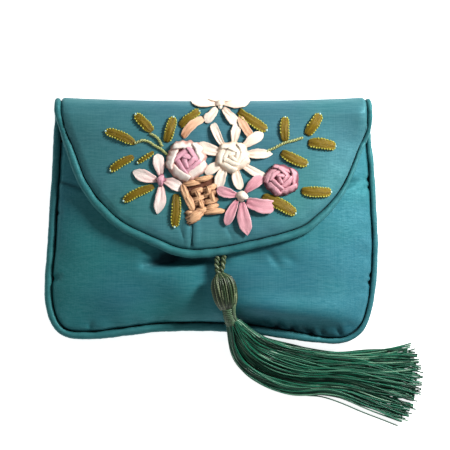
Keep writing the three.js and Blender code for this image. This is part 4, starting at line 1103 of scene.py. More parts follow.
folded_white = silk("folded_white_silk", (0.93, 0.85, 0.78), (0.55, 0.25, 0.20), (0.80, 0.58, 0.50),
                    (0.70, 0.48, 0.40), 0.3, 0.35, 0.3, lip=0.8)
folded_cream = silk("folded_cream_silk", (0.95, 0.87, 0.74), (0.80, 0.55, 0.38), (0.86, 0.66, 0.48),
                    (0.84, 0.62, 0.44), 0.3, 0.35, 0.4, lip=0.5)
folded_rose = silk("folded_rose_silk", (0.74, 0.39, 0.45), CRIMSON_SHADE, (0.52, 0.19, 0.25),
                   (0.90, 0.62, 0.66), 0.3, 0.55, 0.5, lip=1.0)
mauve_silk = silk("mauve_silk", (0.80, 0.43, 0.52), CRIMSON_SHADE, (0.50, 0.17, 0.26),
                  (0.88, 0.62, 0.70), 0.3, 0.6, 0.5, lip=1.0)
tan_silk = silk("tan_silk", (0.95, 0.58, 0.33), (0.13, 0.032, 0.012), TAN,
                (0.24, 0.07, 0.025), 0.5, 0.8, 0.45, lip=0.0)

# %% [markdown]
# ## The ribbon stitch
#
# A petal or leaf is one stitch: the ribbon comes up through the cloth at the base, lies loosely in
# a low arch, and goes down through itself at the tip. A grid is laid from base to tip. An outline
# gives its width, the arch gives its height, and small pleats gather at the base, where the ribbon
# is squeezed through its hole.

# %% Outlines of stitches: share of the length, share of the width
PETAL = [(0, 0.34), (0.12, 0.52), (0.35, 0.86), (0.6, 1.0), (0.8, 0.93), (0.92, 0.66), (1, 0.12)]
BLUNT = [(0, 0.5), (0.12, 0.72), (0.5, 0.93), (0.8, 1.0), (0.93, 0.88), (1, 0.5)]
POINTED = [(0, 0.34), (0.15, 0.62), (0.4, 0.95), (0.6, 1.0), (0.78, 0.84), (0.92, 0.42), (1, 0.06)]
LEAF = [(0, 0.45), (0.07, 0.78), (0.25, 0.97), (0.6, 1.0), (0.84, 0.92), (0.95, 0.74), (1, 0.42)]
STRAP = [(0, 0.7), (0.08, 1.0), (0.5, 0.92), (0.92, 1.0), (1, 0.7)]
TWIST = [(0, 0.3), (0.2, 0.85), (0.5, 1.0), (0.8, 0.85), (1, 0.3)]
KNOT = [(0, 0.35), (0.15, 0.75), (0.5, 1.0), (0.85, 0.75), (1, 0.35)]


# %% One stitch as a table of points
STITCH_ROWS, STITCH_COLUMNS = 23, 11


def ribbon_points(base, tip, wide, outline, rise, cup, bend, pleats, seed, lift=0.25):
    """A table of points for one ribbon stitch; wide is in picture points, heights are in mm."""
    base, tip = picture_run([base, tip])
    ahead = tip - base
    length = np.linalg.norm(ahead)
    ahead = ahead / length
    side = np.array([-ahead[1], ahead[0]])
    t, c = np.linspace(0, 1, STITCH_ROWS)[:, None], np.linspace(-1, 1, STITCH_COLUMNS)[None, :]
    share = np.interp(t, *zip(*outline))
    half = wide * PICTURE_SCALE * MM / 2 * share
    sway = bend * length * np.sin(math.pi * t)
    ragged = 1 + 0.05 * swell(t * length + 0 * c, np.sign(c) * 3 * MM, 2.6 * MM, seed + 50, 4) * np.abs(c)
    x = base[0] + ahead[0] * t * length + side[0] * (c * half * ragged + sway)
    y = base[1] + ahead[1] * t * length + side[1] * (c * half * ragged + sway)
    arch = np.sin(math.pi * np.clip(t * 0.96 + 0.02, 0, 1)) ** 0.6
    profile = rise * arch * (1 - 0.22 * c**2) + cup * arch * (np.abs(c) ** 2.2 - 0.3)
    folds = pleats * np.maximum(0, 1 - 1.1 * t) * np.cos(math.pi * (2.1 * c + seed * 0.7))
    height = lift + profile + folds * arch + 0.06 * swell(x, y, 3 * MM, seed, 5) * arch
    return on_flap(x, y, height * MM)


# %% A ribbon from its stitches
def ribbon_piece(name, tables, thickness=0.14):
    """One piece from several tables of points, with the ribbon's thickness."""
    parts = [grid_object(name, table)[0] for table in tables]
    piece = join(*parts)
    piece.name = piece.data.name = name
    solid = piece.modifiers.new("ribbon", "SOLIDIFY")
    solid.thickness = thickness * MM
    solid.offset = -1
    return piece


# %% How deep a point lies in the creases
CREASE_REACH = 1.3 * MM      # how far round a point its neighbours count
CREASE_DEPTH = 1.5 * MM      # this far below them a crease is all dark


def crease_tone(piece):
    """Give each point its tone, the share of painted shade in a crease: how deep it lies below the folds
    round it.
    """
    apply_all(piece)
    mesh = piece.data
    places = np.array([vertex.co[:] for vertex in mesh.vertices])
    tree = KDTree(len(places))
    for k, (x, y, _) in enumerate(places):
        tree.insert((x, y, 0), k)
    tree.balance()
    values = np.zeros(len(places), np.float32)
    for k, (x, y, z) in enumerate(places):
        near = [index for _, index, _ in tree.find_range((x, y, 0), CREASE_REACH)]
        fifth = -(1 + len(near) // 5)
        over = np.partition(places[near, 2], fifth)[fifth] - z
        values[k] = np.clip(over / CREASE_DEPTH, 0, 1)
    set_tone(piece, values)
    print(f"{piece.name}: {np.mean(values > 0.5):.2f} of its points lie in creases")
    return piece


# %% [markdown]
# ### Leaves
#
# The leaves are olive ribbon with a gold picot: a row of tiny thread beads along both edges. Each
# bead is a small ball, a little out of round.

# %% Where the leaves lie: base, tip and width, in points of the picture
LEAVES = [
    ((135.9, 143.6), (106.5, 131.7), 9), ((152.8, 132.9), (135.9, 115), 10),
    ((166.5, 142.8), (173.6, 118.4), 10), ((180.3, 128.3), (199.5, 111.8), 9),
    ((134.4, 157.2), (111.6, 171.5), 8.5), ((154.3, 152.4), (138.5, 163.8), 4.6),
    ((154.3, 187.2), (124.8, 201.3), 8.5), ((176.5, 194.8), (175, 227), 10),
    ((238.5, 112), (266.3, 131.8), 10.5), ((261.7, 197.1), (294.6, 213.8), 12),
    ((300.5, 191.6), (329.4, 192.2), 10.5), ((284.6, 142.1), (284.9, 118.2), 9.6),
    ((305.8, 135.9), (319.6, 114.6), 10.5), ((307.2, 143.1), (334.2, 146.8), 11.5),
    ((280.9, 153.1), (306.6, 165.2), 10.5),
]
print("leaves:", len(LEAVES))

# %% Beads of thread
bpy.ops.mesh.primitive_ico_sphere_add(subdivisions=1, radius=1)
bead = bpy.context.object
bead_shape = np.array([vertex.co[:] for vertex in bead.data.vertices])
bead_faces = [list(polygon.vertices) for polygon in bead.data.polygons]
bpy.data.objects.remove(bead)


def beads_object(name, centres, radius):
    """Small balls, each a little out of round, in one mesh."""
    sizes = np.random.default_rng(9).uniform(0.8, 1.2, (len(centres), 3)) * radius
    points = np.vstack([centre + bead_shape * size for centre, size in zip(centres, sizes)])
    faces = [[k + n * len(bead_shape) for k in face] for n in range(len(centres)) for face in bead_faces]
    mesh = bpy.data.meshes.new(name)
    mesh.from_pydata(points.tolist(), [], faces)
    piece = bpy.data.objects.new(name, mesh)
    bpy.context.scene.collection.objects.link(piece)
    return piece


# %% Leaves of ribbon and their beads
picot_gold = plain_material("gold_picot", (0.46, 0.45, 0.06), 0.4)
tip_highlight = plain_material("pale_tip_highlight", (0.50, 0.72, 0.66), 0.4)
leaf_tips = []
for number, (base, tip, wide) in enumerate(LEAVES, 1):
    table = ribbon_points(base, tip, 0.93 * wide, LEAF, 1.1, -0.15, 0.03 * (-1) ** number, 0.2, number)
    leaf = ribbon_piece(f"leaf_{number}_ribbon", [table])
    finish_piece(leaf, leaf_silk, "leaf_ribbon", f"leaf_{number}")
    middle = table[:, STITCH_COLUMNS // 2]
    rims = sorted((table[:, 0], table[:, -1]), key=lambda rim: rim[:, 1].mean() - rim[:, 0].mean())
    edges = [even_run(rims[0][2:], 1.02 * MM), even_run(rims[1][7:], 1.1 * MM)]    # the base is bare
    spots = np.vstack(edges)
    spots = spots + (middle.mean(axis=0) - spots) * 0.06 + np.array([0, 0, 0.12 * MM])
    picot = beads_object(f"leaf_{number}_picot", spots, 0.33 * MM)
    finish_piece(picot, picot_gold, "leaf_ribbon")
    leaf_tips.append(middle[-1])
# Pale beads at the leaf tips: the tail stitch where each ribbon goes down, painted pale as a highlight.
finish_piece(beads_object("leaf_tip_stitch_highlights", np.array(leaf_tips), 0.42 * MM), tip_highlight, "leaf_ribbon")

# %% [markdown]
# ### Petals
#
# Four flowers are made of loose petals, all with the same stitch. A petal is cupped: its edges
# stand a little higher than its middle.

# %% Petals of the four flowers
FLOWERS = {
    "left_flower": (blush_silk, "cream_ribbon", [
        ((161, 177), (158, 154.6), 11.5, PETAL), ((158, 181), (133.6, 172.4), 12, POINTED),
        ((164, 181), (182.6, 190), 11.5, PETAL), ((161.5, 186), (158, 214.4), 11.5, POINTED)]),
    "daisy": (cream_silk, "cream_ribbon", [
        ((224, 147), (213, 125.2), 7.5, BLUNT), ((233.5, 145), (238.6, 124.8), 9.5, PETAL),
        ((241, 149), (263, 134.6), 10, PETAL), ((243, 155), (272.6, 154.6), 10.5, POINTED),
        ((240, 164), (265, 178.6), 8.5, BLUNT), ((235, 168), (240.4, 190.6), 10, PETAL),
        ((226, 167), (218, 189.6), 11, PETAL), ((224, 163), (204.8, 174.6), 10.5, PETAL),
        ((224, 154), (196.6, 146), 12.4, PETAL)]),
    "pink_flower": (rose_silk, "pink_ribbon", [
        ((245, 193), (263.4, 178.2), 11, PETAL), ((237, 196), (216.6, 190.6), 10.5, PETAL),
        ((237, 201), (226, 225), 10, PETAL), ((242, 203), (248, 235), 13.5, POINTED),
        ((246, 202.6), (273.6, 207.6), 14.5, BLUNT)]),
    "top_flower": (cream_silk, "cream_ribbon", [
        ((217, 106.6), (190.6, 103.4), 10, PETAL), ((224, 106.6), (250, 103.4), 10, PETAL),
        ((218, 104), (207, 98.6), 9, PETAL), ((223, 104), (233, 98.6), 9, PETAL),
        ((217, 110), (205.6, 124.4), 10.5, PETAL), ((223, 110), (236.6, 126.4), 10.5, PETAL)]),
}
for number, (name, (material, slot, petals)) in enumerate(FLOWERS.items()):
    tables = [
        ribbon_points(base, tip, wide, outline, 0.7 if tip[1] < 104 else 0.95, 0.42,
                      0.05 * math.sin(7 * k + number), 0.22, 90 + 10 * number + k,
                      0.8 if name == "pink_flower" else 0.25)
        for k, (base, tip, wide, outline) in enumerate(petals)
    ]
    finish_piece(ribbon_piece(f"{name}_petals_ribbon", tables), material, slot, f"{name}_petals")

# %% [markdown]
# ### Roses and knots
#
# A ribbon rose is made of wraps: short bands laid round the middle like the blades of a fan, each
# tucked under the next. A wrap rises from its outer edge to a lip near the middle and drops behind
# it. Rings of smaller and steeper wraps follow, down to a bud. The knots of the small flowers are
# two short stitches over each other.

# %% Roses and knots as functions
def wrap_points(centre, squash, angle, count, ring, seed):
    """One wrap as a table: rows run along the band, columns from its inner edge to its outer one."""
    inner, outer, low, high = ring
    t, c = np.linspace(-1, 1, 19)[:, None], np.linspace(0, 1, 11)[None, :] ** 0.9
    reach = min(0.9, 1.24 * math.sin(math.pi / count)) * outer
    along = t * reach
    bulge = np.sqrt(np.maximum(0.03, 1 - (0.80 * along / outer) ** 2)) * outer
    away = mix(inner * (1 - 0.10 * t**2) + 0 * c, np.maximum(bulge, inner + 0.3), c)
    away = away * (1 + 0.04 * swell(along + 0 * c, 0 * t * c, 2.4, seed, 4))
    lip = np.sqrt(smooth(c / 0.16))
    crest = lip * (1 - c**2.4) ** 0.7 * (1 - 0.35 * np.abs(t) ** 4)
    height = low + (high - low) * (crest + 0.34 * t * (1 - 0.6 * c))
    height = height + 0.10 * np.cos(2.4 * math.pi * c + seed + 1.1 * t) * (1 - t**2)
    x = centre[0] + MM * (away * math.cos(angle) - along * math.sin(angle))
    y = centre[1] + MM * (away * math.sin(angle) + along * math.cos(angle)) * squash
    return on_flap(x, y, np.maximum(0.05, height) * MM)


# %% Pieces of wraps and of knots
def rose_piece(name, centre, squash, turn, rings, material, slot, node, seed):
    """Rings are (count, inner, outer, low, high), with the sizes in mm."""
    tables = []
    for n, (count, *ring) in enumerate(rings):
        middle = picture_point(centre[0] + 0.9 * n, centre[1])
        for k in range(count):
            angle = turn + 0.7 * n + 2 * math.pi * k / count
            tables.append(wrap_points(middle, squash, angle, count, ring, seed + 7 * n + k))
    # The creases between the wraps get painted shade from their tone.
    finish_piece(crease_tone(ribbon_piece(name, tables, 0.18)), material, slot, node)


def knot_piece(name, centre, straps, material, slot, node):
    """Short loops over one another: (angle, length, width) in degrees and picture points, rise in mm."""
    tables = []
    for k, (angle, long, wide, rise) in enumerate(straps):
        angle = math.radians(angle)
        reach = 0.5 * long * np.array([math.cos(angle), -math.sin(angle)])
        ends = np.array(centre) - reach, np.array(centre) + reach
        tables.append(ribbon_points(*ends, wide, KNOT, rise, -0.25, 0.05, 0.14, 400 + k, 0.5))
    # The creases between the loops get painted shade from their tone.
    finish_piece(crease_tone(ribbon_piece(name, tables, 0.18)), material, slot, node)


# %% Roses and knots
rose_piece("white_rose_outer_wraps", (186.6, 161.4), 1.02, 0.25,
           [(5, 3.7, 7.0, 0.3, 2.9)], folded_white, "cream_ribbon", "white_rose_wraps", 3)
rose_piece("white_rose_middle", (187.8, 162.4), 1.08, 0.55,
           [(4, 1.9, 4.5, 1.3, 3.1), (3, 0.1, 2.7, 1.6, 3.1)],
           mauve_silk, "pink_ribbon", "white_rose_heart", 13)
rose_piece("pink_rose_outer_wraps", (280.6, 181), 0.90, 0.0,
           [(5, 3.3, 6.0, 0.3, 2.8)], folded_rose, "pink_ribbon", "pink_rose_wraps", 23)
rose_piece("pink_rose_middle", (279.6, 180.4), 0.95, 0.7,
           [(4, 1.6, 4.0, 1.2, 3.3), (3, 0.2, 2.1, 1.5, 3.5)],
           folded_rose, "pink_ribbon", "pink_rose_heart", 33)
rose_piece("daisy_rolled_middle", (232.4, 158), 0.96, 0.3,
           [(5, 3.0, 5.8, 0.4, 2.3), (4, 1.5, 3.9, 1.3, 2.7), (3, 0.1, 2.2, 1.7, 2.9)],
           folded_cream, "cream_ribbon", "daisy_rosette", 43)
knot_piece("left_flower_rolled_knot", (161.9, 181.3), [(10, 10, 6, 1.5), (82, 13, 7, 2.2)],
           mauve_silk, "pink_ribbon", "left_flower_knot")
knot_piece("pink_flower_rolled_knot", (241.7, 197.1), [(75, 11, 9, 1.7), (-12, 13, 8, 2.4)],
           cream_silk, "cream_ribbon", "pink_flower_knot")
knot_piece("top_flower_rolled_knot", (220.6, 107.4), [(80, 7, 6, 0.9), (5, 9, 5, 1.3)],
           folded_cream, "cream_ribbon", "top_flower_knot")

# %% [markdown]
# ### Basket, peach ribbons and stems
#
# The basket is plaited from tan ribbon that is crumpled and twisted, so it gets deep pleats. The
# level straps are laid first and the upright ones cross them, higher and lower by turns. The stems
# are two threads laid up as a cord: two runs wind round one line.

# %% The basket
FRAME = [
    ((182, 185.6), (203, 182.4), 5.4, 1.4), ((193, 180.8), (213.4, 177), 5.6, 1.8),
    ((182.6, 184.4), (189, 201.6), 7.0, 1.8), ((183.6, 192.6), (194.6, 212.6), 7.2, 1.5),
    ((203, 214.2), (226, 211.4), 6.0, 1.5), ((187.4, 211), (193.6, 215.6), 5.4, 1.0),
    ((204, 211), (189.6, 224), 8.2, 1.9),
]
WEAVE = [
    ((190.6, 194.6), (204.6, 189.6), 6.2, 1.3), ((201.6, 192), (217.4, 185.2), 6.2, 1.5),
    ((191.4, 200.6), (205.4, 197), 6.0, 1.5), ((202.6, 197.8), (217, 192.2), 6.2, 1.3),
    ((193.4, 206), (206.4, 203.4), 5.8, 1.3), ((203.4, 203.8), (218.4, 199.4), 6.2, 1.5),
    ((195, 211.6), (207.8, 208.6), 5.6, 1.4), ((205, 209.2), (219, 205.2), 5.6, 1.3),
    ((195.4, 190.4), (200, 201), 4.6, 2.1), ((206.6, 186), (209.8, 197), 4.6, 2.1),
    ((199.6, 199.6), (203.6, 210.8), 4.6, 2.1), ((211.4, 191.4), (214.6, 204.4), 4.8, 2.1),
]
# Three wide flat straps of dark tan lie under the weave: painted shade in the gaps between its straps.
GAP_SHADE_STRAPS = [((188, 190), (216, 184)), ((190, 199), (217, 193)), ((193, 208), (217, 202))]
tables = [ribbon_points(base, tip, 12, STRAP, 0.1, 0, 0, 0.05, 260) for base, tip in GAP_SHADE_STRAPS]
finish_piece(ribbon_piece("basket_gap_shade_ribbon", tables, 0.1), basket_gap_shade, "tan_ribbon")
for name, rows in (("basket_frame", FRAME), ("basket_weave", WEAVE)):
    tables = [
        ribbon_points(base, tip, 1.12 * wide, TWIST, high, -0.2, 0.06 * math.sin(5 * k), 0.35, 200 + k)
        for k, (base, tip, wide, high) in enumerate(rows)
    ]
    # The creases of the crumpled straps get painted shade from their tone.
    finish_piece(crease_tone(ribbon_piece(f"{name}_ribbon", tables, 0.2)), tan_silk, "tan_ribbon", name)

# %% Peach ribbons
PEACH = {"left": ((182.4, 138), (203.8, 119.4), 8.5), "right": ((251.8, 138.6), (238.4, 117), 8)}
for name, (base, tip, wide) in PEACH.items():
    table = ribbon_points(base, tip, wide, LEAF, 1.1, 0.3, 0.05, 0.14, 300)
    piece = ribbon_piece(f"peach_{name}_ribbon", [table])
    finish_piece(piece, peach_silk, "peach_ribbon", f"peach_ribbon_{name}")

# %% [markdown]
# Thread gets its own node group. Its UV map runs along the cord, so slanting stripes on it read as
# the twist of the fibres: the stripes are painted shade between the twists, with a bump of their own.
# Each thread's tone, drawn at random, is partly its own green and partly painted light: the palest
# threads carry a painted sheen and the darkest a painted shade.

# %% The thread group
bench, given = effect(
    "twisted_thread", Tone=0.5, Colour=(0.3, 0.3, 0.1), Dark_Colour=(0.1, 0.1, 0.02),
    Light_Colour=(0.6, 0.6, 0.3), Turns=40.0, Contrast=0.6)
place = given["Place"]
split = bench.node("SeparateXYZ", {0: place}).outputs
lay = bench.plus(bench.times(split["X"], given["Turns"]), split["Y"])
stripe = bench.spread(bench.maths("SINE", bench.times(lay, 2 * math.pi)), -1.0, 1.0)
uneven = bench.spread(bench.noise(place, (14, 3, 1)), 0.3, 0.7)
share = bench.times(bench.times(stripe, given["Contrast"]), bench.plus(uneven, 0.3))
# Tone: darker towards the dark colour, painted shade, and lighter towards the light colour, painted sheen.
darker = bench.spread(given["Tone"], 0.0, 0.5)
lighter = bench.spread(given["Tone"], 0.5, 1.0)
body = bench.mix(darker, given["Dark Colour"], given["Colour"])
body = bench.mix(lighter, body, given["Light Colour"])
# Stripes of the dark colour: painted shade between the twists.
striped = bench.mix(share, body, given["Dark Colour"])
rough = bench.spread(uneven, 0, 1, 0.3, 0.5)
put_out(bench, Colour=striped, Roughness=rough, Height=bench.spread(stripe, 0, 1, 1.0, 0.0))
thread_effect = bench.tree


def thread(name, colour, dark, light, turns, contrast, toned=True):
    """Its tone makes a thread darker below 0.5 and lighter above, towards painted shade and painted sheen.
    """
    values = {"Colour": colour, "Dark Colour": dark, "Light Colour": light, "Turns": turns,
              "Contrast": contrast}
    return grouped_material(name, thread_effect, values, (0.4, 0.05), {"IOR": 1.5}, "UV", toned)


stem_thread = thread("stem_thread", (0.48, 0.52, 0.20), (0.05, 0.07, 0.01), (0.6, 0.6, 0.3), 30, 0.8, False)
olive_thread = thread("olive_thread", (0.040, 0.082, 0.030), (0.006, 0.014, 0.005),
                      (0.36, 0.42, 0.24), 16, 0.55)
green_olive = thread("green_olive_thread", (0.050, 0.115, 0.055), (0.010, 0.030, 0.012),
                     (0.20, 0.32, 0.18), 20, 0.5)
green_thread = thread("green_thread", (0.005, 0.175, 0.095), (0.001, 0.016, 0.007),
                      (0.24, 0.46, 0.31), 130, 0.65)


# %% Stems
def laid_up(line, turn, apart, pitch, plies=2):
    """Runs that wind round a line, as the plies of a cord do."""
    ahead = unit(np.gradient(line, axis=0))
    side = unit(np.cross(ahead, [0, 0, 1]))
    up = np.cross(side, ahead)
    far = distances(line)
    runs = []
    for ply in range(plies):
        angle = turn + 2 * math.pi * (far / pitch + ply / plies)
        runs.append(line + apart * (np.cos(angle)[:, None] * side + np.sin(angle)[:, None] * up))
    return runs


STEMS = {
    "stem_left": [(168, 156), (161, 149.6), (154.5, 146), (149, 141.6), (143, 140.6), (135.5, 144)],
    "stem_left_branch": [(162.4, 147), (160.4, 142.6), (157.4, 138), (150.5, 135)],
    "stem_right": [(266, 152), (274, 149), (283.8, 143.8), (292, 141.6), (302, 138.6)],
}
for name, points in STEMS.items():
    line = even_run(picture_run(points), 1.4 * MM)
    line = even_run(on_flap(line[:, 0], line[:, 1], np.full(len(line), 0.5 * MM)), 0.22 * MM)
    piece = cord_object(f"{name}_thread", laid_up(line, 0, 0.27 * MM, 2.2 * MM), 0.30 * MM, 8)
    finish_piece(piece, stem_thread, "stem_thread", name)

# %% [markdown]
# ## The tassel
#
# A tassel is a hank of silk thread, hung over a cord, folded in half and bound below the fold. The
# fold makes its head and the binding its neck, and the cut ends make the skirt. The tassel lies on
# the pocket and runs over the piping to the table, so each thread's height comes from what is under
# it. A thread can't fall steeper than it can bend, which keeps it clear of the piping.

# %% What lies under the tassel
EDGE_INSET = 2 * PIPING + EDGE_GAP
THREAD_FALL = 0.5            # the steepest fall of a thread, as a slope
NECK_RADIUS = 1.95 * MM      # to the middle of the binding's thread
NECK_HEIGHT = 2.6 * MM       # middle of the neck above what it lies on
BINDING_PITCH = 0.72 * MM    # from one turn of the binding to the next
SKIRT_THREAD = 0.25 * MM     # radius


def under_tassel(x, y):
    """The height of what a thread lies on: the pocket, the piping or the table."""
    seam = bottom_y(x)
    on_piping = np.where(y > seam - EDGE_INSET, SEAM_HEIGHT + PIPING + FIT_GAP, 0)
    return np.where(y >= seam, pocket_belly(x, y) + FIT_GAP, on_piping)


# %% How a thread settles
def softened(values, kernel):
    """Values averaged with their neighbours; the ends are held."""
    reach = len(kernel) // 2
    padded = np.concatenate([[values[0]] * reach, values, [values[-1]] * reach])
    return np.convolve(padded, kernel / kernel.sum(), "valid")


def settled(run, tied):
    """Heights of the underside of a thread along a run in plan, from the height where it is tied."""
    under = under_tassel(run[:, 0], run[:, 1])
    neighbours = np.maximum(np.append(under[1:], 0), np.append(0, under[:-1]))
    under = np.maximum(under, neighbours)
    steps = np.append(0, np.linalg.norm(np.diff(run, axis=0), axis=1)) * THREAD_FALL
    heights, height = [], tied
    for low, step in zip(under, steps):
        height = max(low, height - step)
        heights.append(height)
    return np.maximum(under, softened(heights, np.hanning(9)[1:-1]))


CORNER_CUTS = 3


def rounded(points):
    """Cut the corners of a run a few times, which makes it a smooth curve."""
    for _ in range(CORNER_CUTS):
        a, b = points[:-1], points[1:]
        middle = np.stack([0.75 * a + 0.25 * b, 0.25 * a + 0.75 * b], axis=1)
        points = np.vstack([points[:1], middle.reshape(-1, points.shape[1]), points[-1:]])
    return points


# %% Threads with their own tones
def tassel_cord(name, runs, radius, sides, tones, material, *nodes):
    """A finished piece of threads, each with its own tone from 0 to 1."""
    piece = cord_object(name, runs, radius, sides)
    rings = [len(run) + 2 for run in runs]       # the closed ends have points of their own
    set_tone(piece, np.repeat(tones, np.array(rings) * (len(piece.data.vertices) // sum(rings))))
    finish_piece(piece, material, "tassel_thread", *nodes)


# %% [markdown]
# ### Hanger, head and neck
#
# The hanger is two twisted cords. The head's threads run from the hanger round an oval core to the
# neck. A thread wound round and round makes the neck, and one loose lock lies over it.

# %% Hanger
chance = np.random.default_rng(5)
HANGER = [((217.6, 254), (217, 261), (216.8, 267), (218.6, 274.5)),
          ((223.6, 254), (223.6, 261), (222.4, 268), (220.6, 274.5))]
hanger_runs = []
for leg in HANGER:
    run = even_run(rounded(picture_run(leg)), 0.25 * MM)
    heights = pocket_belly(run[:, 0], run[:, 1]) + FIT_GAP + 1.1 * MM
    hanger_runs += laid_up(np.column_stack([run, heights]), 0.6 * len(hanger_runs), 0.48 * MM, 3.6 * MM)
tassel_cord("tassel_hanger_cords", hanger_runs, 0.52 * MM, 10, [0.66, 0.55, 0.66, 0.55],
            olive_thread, "tassel_hanger")

# %% Head
HEAD = [(0, 0.20), (0.05, 0.50), (0.14, 0.78), (0.30, 0.97), (0.48, 1.0), (0.75, 0.93),
        (0.92, 0.76), (1, 0.6)]
HEAD_THREADS = 64
HEAD_WIDTH, HEAD_HEIGHT = 8.4 * MM, 6.6 * MM
head_line = even_run(rounded(picture_run([(219.6, 273), (223.5, 285), (226, 298), (228, 308)])), 0.4 * MM)
share = np.linspace(0, 1, len(head_line))
size = softened(np.interp(share, *zip(*HEAD)), np.ones(5))
side = beside(head_line)
core_height = mix(0.3 * MM + HEAD_HEIGHT / 2, NECK_HEIGHT, share**3)
head_middle = under_tassel(head_line[:, 0], head_line[:, 1]) + core_height


def round_head(angle, reach):
    """One thread over the head's oval core."""
    flat = head_line + side * (reach * size * HEAD_WIDTH / 2 * np.cos(angle))[:, None]
    return np.column_stack([flat, head_middle + reach * size * HEAD_HEIGHT / 2 * np.sin(angle)])


head_runs, tones = [], []
for k in range(HEAD_THREADS):
    sway = chance.uniform(-0.16, 0.16) * np.sin(math.pi * share + chance.uniform(-0.6, 0.6))
    reach = 1 - 0.07 * chance.random() + 0.05 * np.sin(math.pi * share) * chance.uniform(-1, 1)
    angle = 2 * math.pi * k / HEAD_THREADS + sway + chance.uniform(-0.03, 0.03)
    head_runs.append(round_head(angle, reach))
    tones.append(chance.choice([0.12, 0.35, 0.5, 0.7, 0.9], p=[0.2, 0.25, 0.3, 0.17, 0.08]))
tassel_cord("tassel_head_threads", head_runs, 0.27 * MM, 6, tones, olive_thread, "tassel_head_and_skirt")
core_run = np.column_stack([head_line, head_middle])
# The core is painted nearly black: painted shade of the inner threads, seen through the gaps of the head.
head_core = cord_object("tassel_head_core", [core_run], HEAD_HEIGHT / 2, 16, [0.84 * size])
head_shade_core = plain_material("painted_head_shade", (0.012, 0.022, 0.010), 0.7)
finish_piece(head_core, head_shade_core, "tassel_thread")

# %% Neck: the binding and a loose lock
neck_line = even_run(rounded(picture_run([(228, 307), (229.2, 314), (231.4, 323)])), 0.05 * MM)
neck_middle = under_tassel(neck_line[:, 0], neck_line[:, 1]) + NECK_HEIGHT
neck_line = np.column_stack([neck_line, neck_middle])
binding_run = laid_up(neck_line, 0.4, NECK_RADIUS, BINDING_PITCH, 1)
tassel_cord("tassel_neck_binding", binding_run, 0.38 * MM, 8, [0.6], green_olive, "tassel_neck_wrap")
lock_runs = []
for k in range(9):
    points = [(231.4 + 0.42 * k, 300), (231.8 + 0.4 * k, 307)]
    points += [(232.4 + 0.3 * k, 314), (234.4 + 0.4 * k, 322)]
    run = even_run(rounded(picture_run(points)), 0.4 * MM)
    rise = np.sin(math.pi * np.linspace(0, 1, len(run)))
    heights = under_tassel(run[:, 0], run[:, 1]) + (3.0 + 1.2 * rise + 0.3 * math.sin(2.1 * k)) * MM
    lock_runs.append(np.column_stack([run, heights]))
tones = chance.choice([0.5, 0.75, 0.95], len(lock_runs))
tassel_cord("tassel_loose_lock", lock_runs, 0.24 * MM, 6, tones, green_olive)

# %% [markdown]
# ### Skirt
#
# Two curves bound the skirt in plan. Each thread keeps a place between them, given as a share, and
# it wanders a little along its way. Threads that start in one lock stay close at first and mix
# towards the ends. A deep layer of threads fills the gaps between the locks; they are painted dark,
# as painted shade in those gaps.

# %% The skirt's bounds, locks and thickness
LOWER = [(226.4, 320), (227.2, 332), (229.4, 348), (235, 362), (246, 375), (261, 384), (276, 390.4),
         (293, 395), (308, 395.6), (324, 394.4), (345, 399), (367, 408.6), (387, 416.6), (408, 425),
         (421, 430)]
UPPER = [(236, 318), (241, 320), (249, 327), (262, 336.6), (280, 343), (299, 347.4), (320, 351.6),
         (338, 353.6), (352, 353.8), (366, 353.4), (380, 353), (398, 351.6), (414, 351), (430, 351)]
STATIONS, DEEP_THREADS, LOCK_THREADS = 76, 84, 158
bounds = [evenly(rounded(picture_run(rows)), STATIONS) for rows in (LOWER, UPPER)]
along = np.linspace(0, 1, STATIONS)
STACK = [(0, 1.0), (0.07, 1.2), (0.17, 1.2), (0.28, 1.1), (0.43, 1.0), (0.58, 0.95), (0.75, 0.8),
         (0.89, 0.65), (1, 0.4)]
stack = 3.2 * MM * np.interp(along, *zip(*STACK))
LOCKS = [0.03, 0.09, 0.16, 0.30, 0.44, 0.53, 0.61, 0.70, 0.79, 0.88, 0.96]
tied_height = neck_line[-1, 2] - 2.0 * MM


# %% One thread of the skirt
def skirt_run(places, layer, end):
    """One thread: its shares across at five stations, its layer from 0 to 1 and its length."""
    across = softened(np.interp(along, (0, 0.12, 0.34, 0.66, 1), places), np.hanning(15)[1:-1])
    phase, long = chance.uniform(0, 2 * math.pi), chance.uniform(1.2, 3.2)
    across = across + 0.022 * smooth(along / 0.2) * np.sin(2 * math.pi * long * along + phase)
    across = across + chance.normal(0, 0.05) * smooth((along - 0.72) / 0.28) ** 2
    run = bounds[0] + (bounds[1] - bounds[0]) * across[:, None]
    weave = np.sin(2 * math.pi * (1.4 * along + 3.1 * layer + places[2]))
    level = np.clip(layer + 0.16 * weave, 0, 1)
    crown = np.sqrt(np.clip(1 - 0.75 * (2 * across - 1) ** 2, 0.1, 1))
    heights = settled(run, tied_height) + SKIRT_THREAD + level * crown * stack
    keep = along <= end * (0.945 + 0.055 * math.sin(math.pi * np.clip(across[-1], 0, 1)))
    return np.column_stack([run, heights])[keep]


# %% Deep threads
deep_runs, tones = [], []
for k in range(DEEP_THREADS):
    place = (k + chance.uniform(0.2, 0.8)) / DEEP_THREADS
    start = np.clip(place + chance.normal(0, 0.05), 0, 1)
    places = [start, place, place, place, place + chance.normal(0, 0.01)]
    deep_runs.append(skirt_run(places, 0.1 * chance.random(), chance.uniform(0.945, 0.985)))
    # Dark tones: painted shade in the gaps between the locks.
    tones.append(chance.choice([0.0, 0.08, 0.25]))
tassel_cord("tassel_deep_threads", deep_runs, SKIRT_THREAD, 6, tones, green_thread)

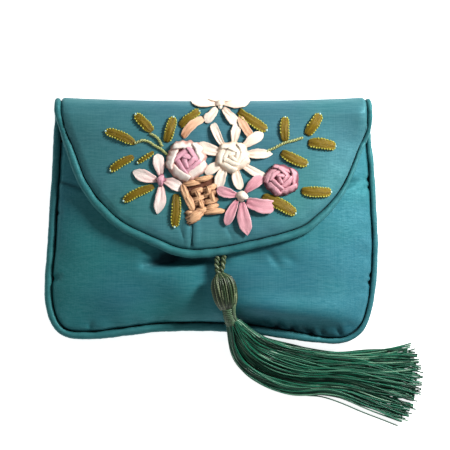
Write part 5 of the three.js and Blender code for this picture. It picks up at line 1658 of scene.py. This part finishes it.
# %% Threads in locks
skirt_runs, tones = [], []
for k in range(LOCK_THREADS):
    lock = LOCKS[k % len(LOCKS)]
    deep = 0.35 if lock == 0.30 else 1.0
    close, loose = lock + chance.normal(0, 0.024), lock + chance.normal(0, 0.065)
    start = np.clip(0.5 + 0.8 * (lock - 0.5) + chance.normal(0, 0.10), 0, 1)
    places = [start, close, close + chance.normal(0, 0.012), loose]
    places.append(np.clip(loose + chance.normal(0, 0.09), -0.03, 1.03))
    skirt_runs.append(skirt_run(places, deep * chance.uniform(0.15, 1.0), chance.uniform(0.945, 1.0)))
    # The tones differ at random; the palest stand for painted sheen and the darkest for painted shade.
    tones.append(chance.choice([0.08, 0.25, 0.45, 0.62, 0.95], p=[0.2, 0.28, 0.3, 0.16, 0.06]))
STRAYS = [[0.9, 0.96, 0.97, 0.96, 1.06], [0.8, 0.9, 0.93, 0.9, 1.1], [0.1, -0.01, -0.01, 0.02, -0.01]]
for places in STRAYS:
    skirt_runs.append(skirt_run(places, 0.8, chance.uniform(0.96, 1.0)))
    tones.append(0.75)
print("threads of the skirt:", len(deep_runs), "deep ones and", len(skirt_runs), "in locks")
tassel_cord("tassel_skirt_threads", skirt_runs, SKIRT_THREAD, 6, tones, green_thread)

# %% [markdown]
# ## The press stud
#
# The stud under the flap's tip is a plain disc, so its solid stays as it is, in brushed steel.

# %% The stud's steel
bench, given = effect("brushed_steel", Colour=(0.55, 0.55, 0.55))
brushed = bench.spread(bench.noise(given["Place"], (300, 6000, 6000)), 0.3, 0.7)
rough = bench.spread(brushed, 0, 1, 0.25, 0.4)
put_out(bench, Colour=given["Colour"], Roughness=rough, Height=brushed)
steel = grouped_material("brushed_steel", bench.tree, {}, (0.2, 0.02), {"Metallic": 1.0})
stud = bpy.data.objects["closure_stud"]
stud.data.materials.clear()
stud.data.materials.append(steel)

# %% [markdown]
# ## The cloths as cut
#
# The two wadded cloths were each cut flat and then sewn. The outer panel is folded over itself, and
# the pocket is held tight by its seams. Their flat lengths and areas are printed above.

print("sheets:", outer_panel.name, "and", pocket.name)
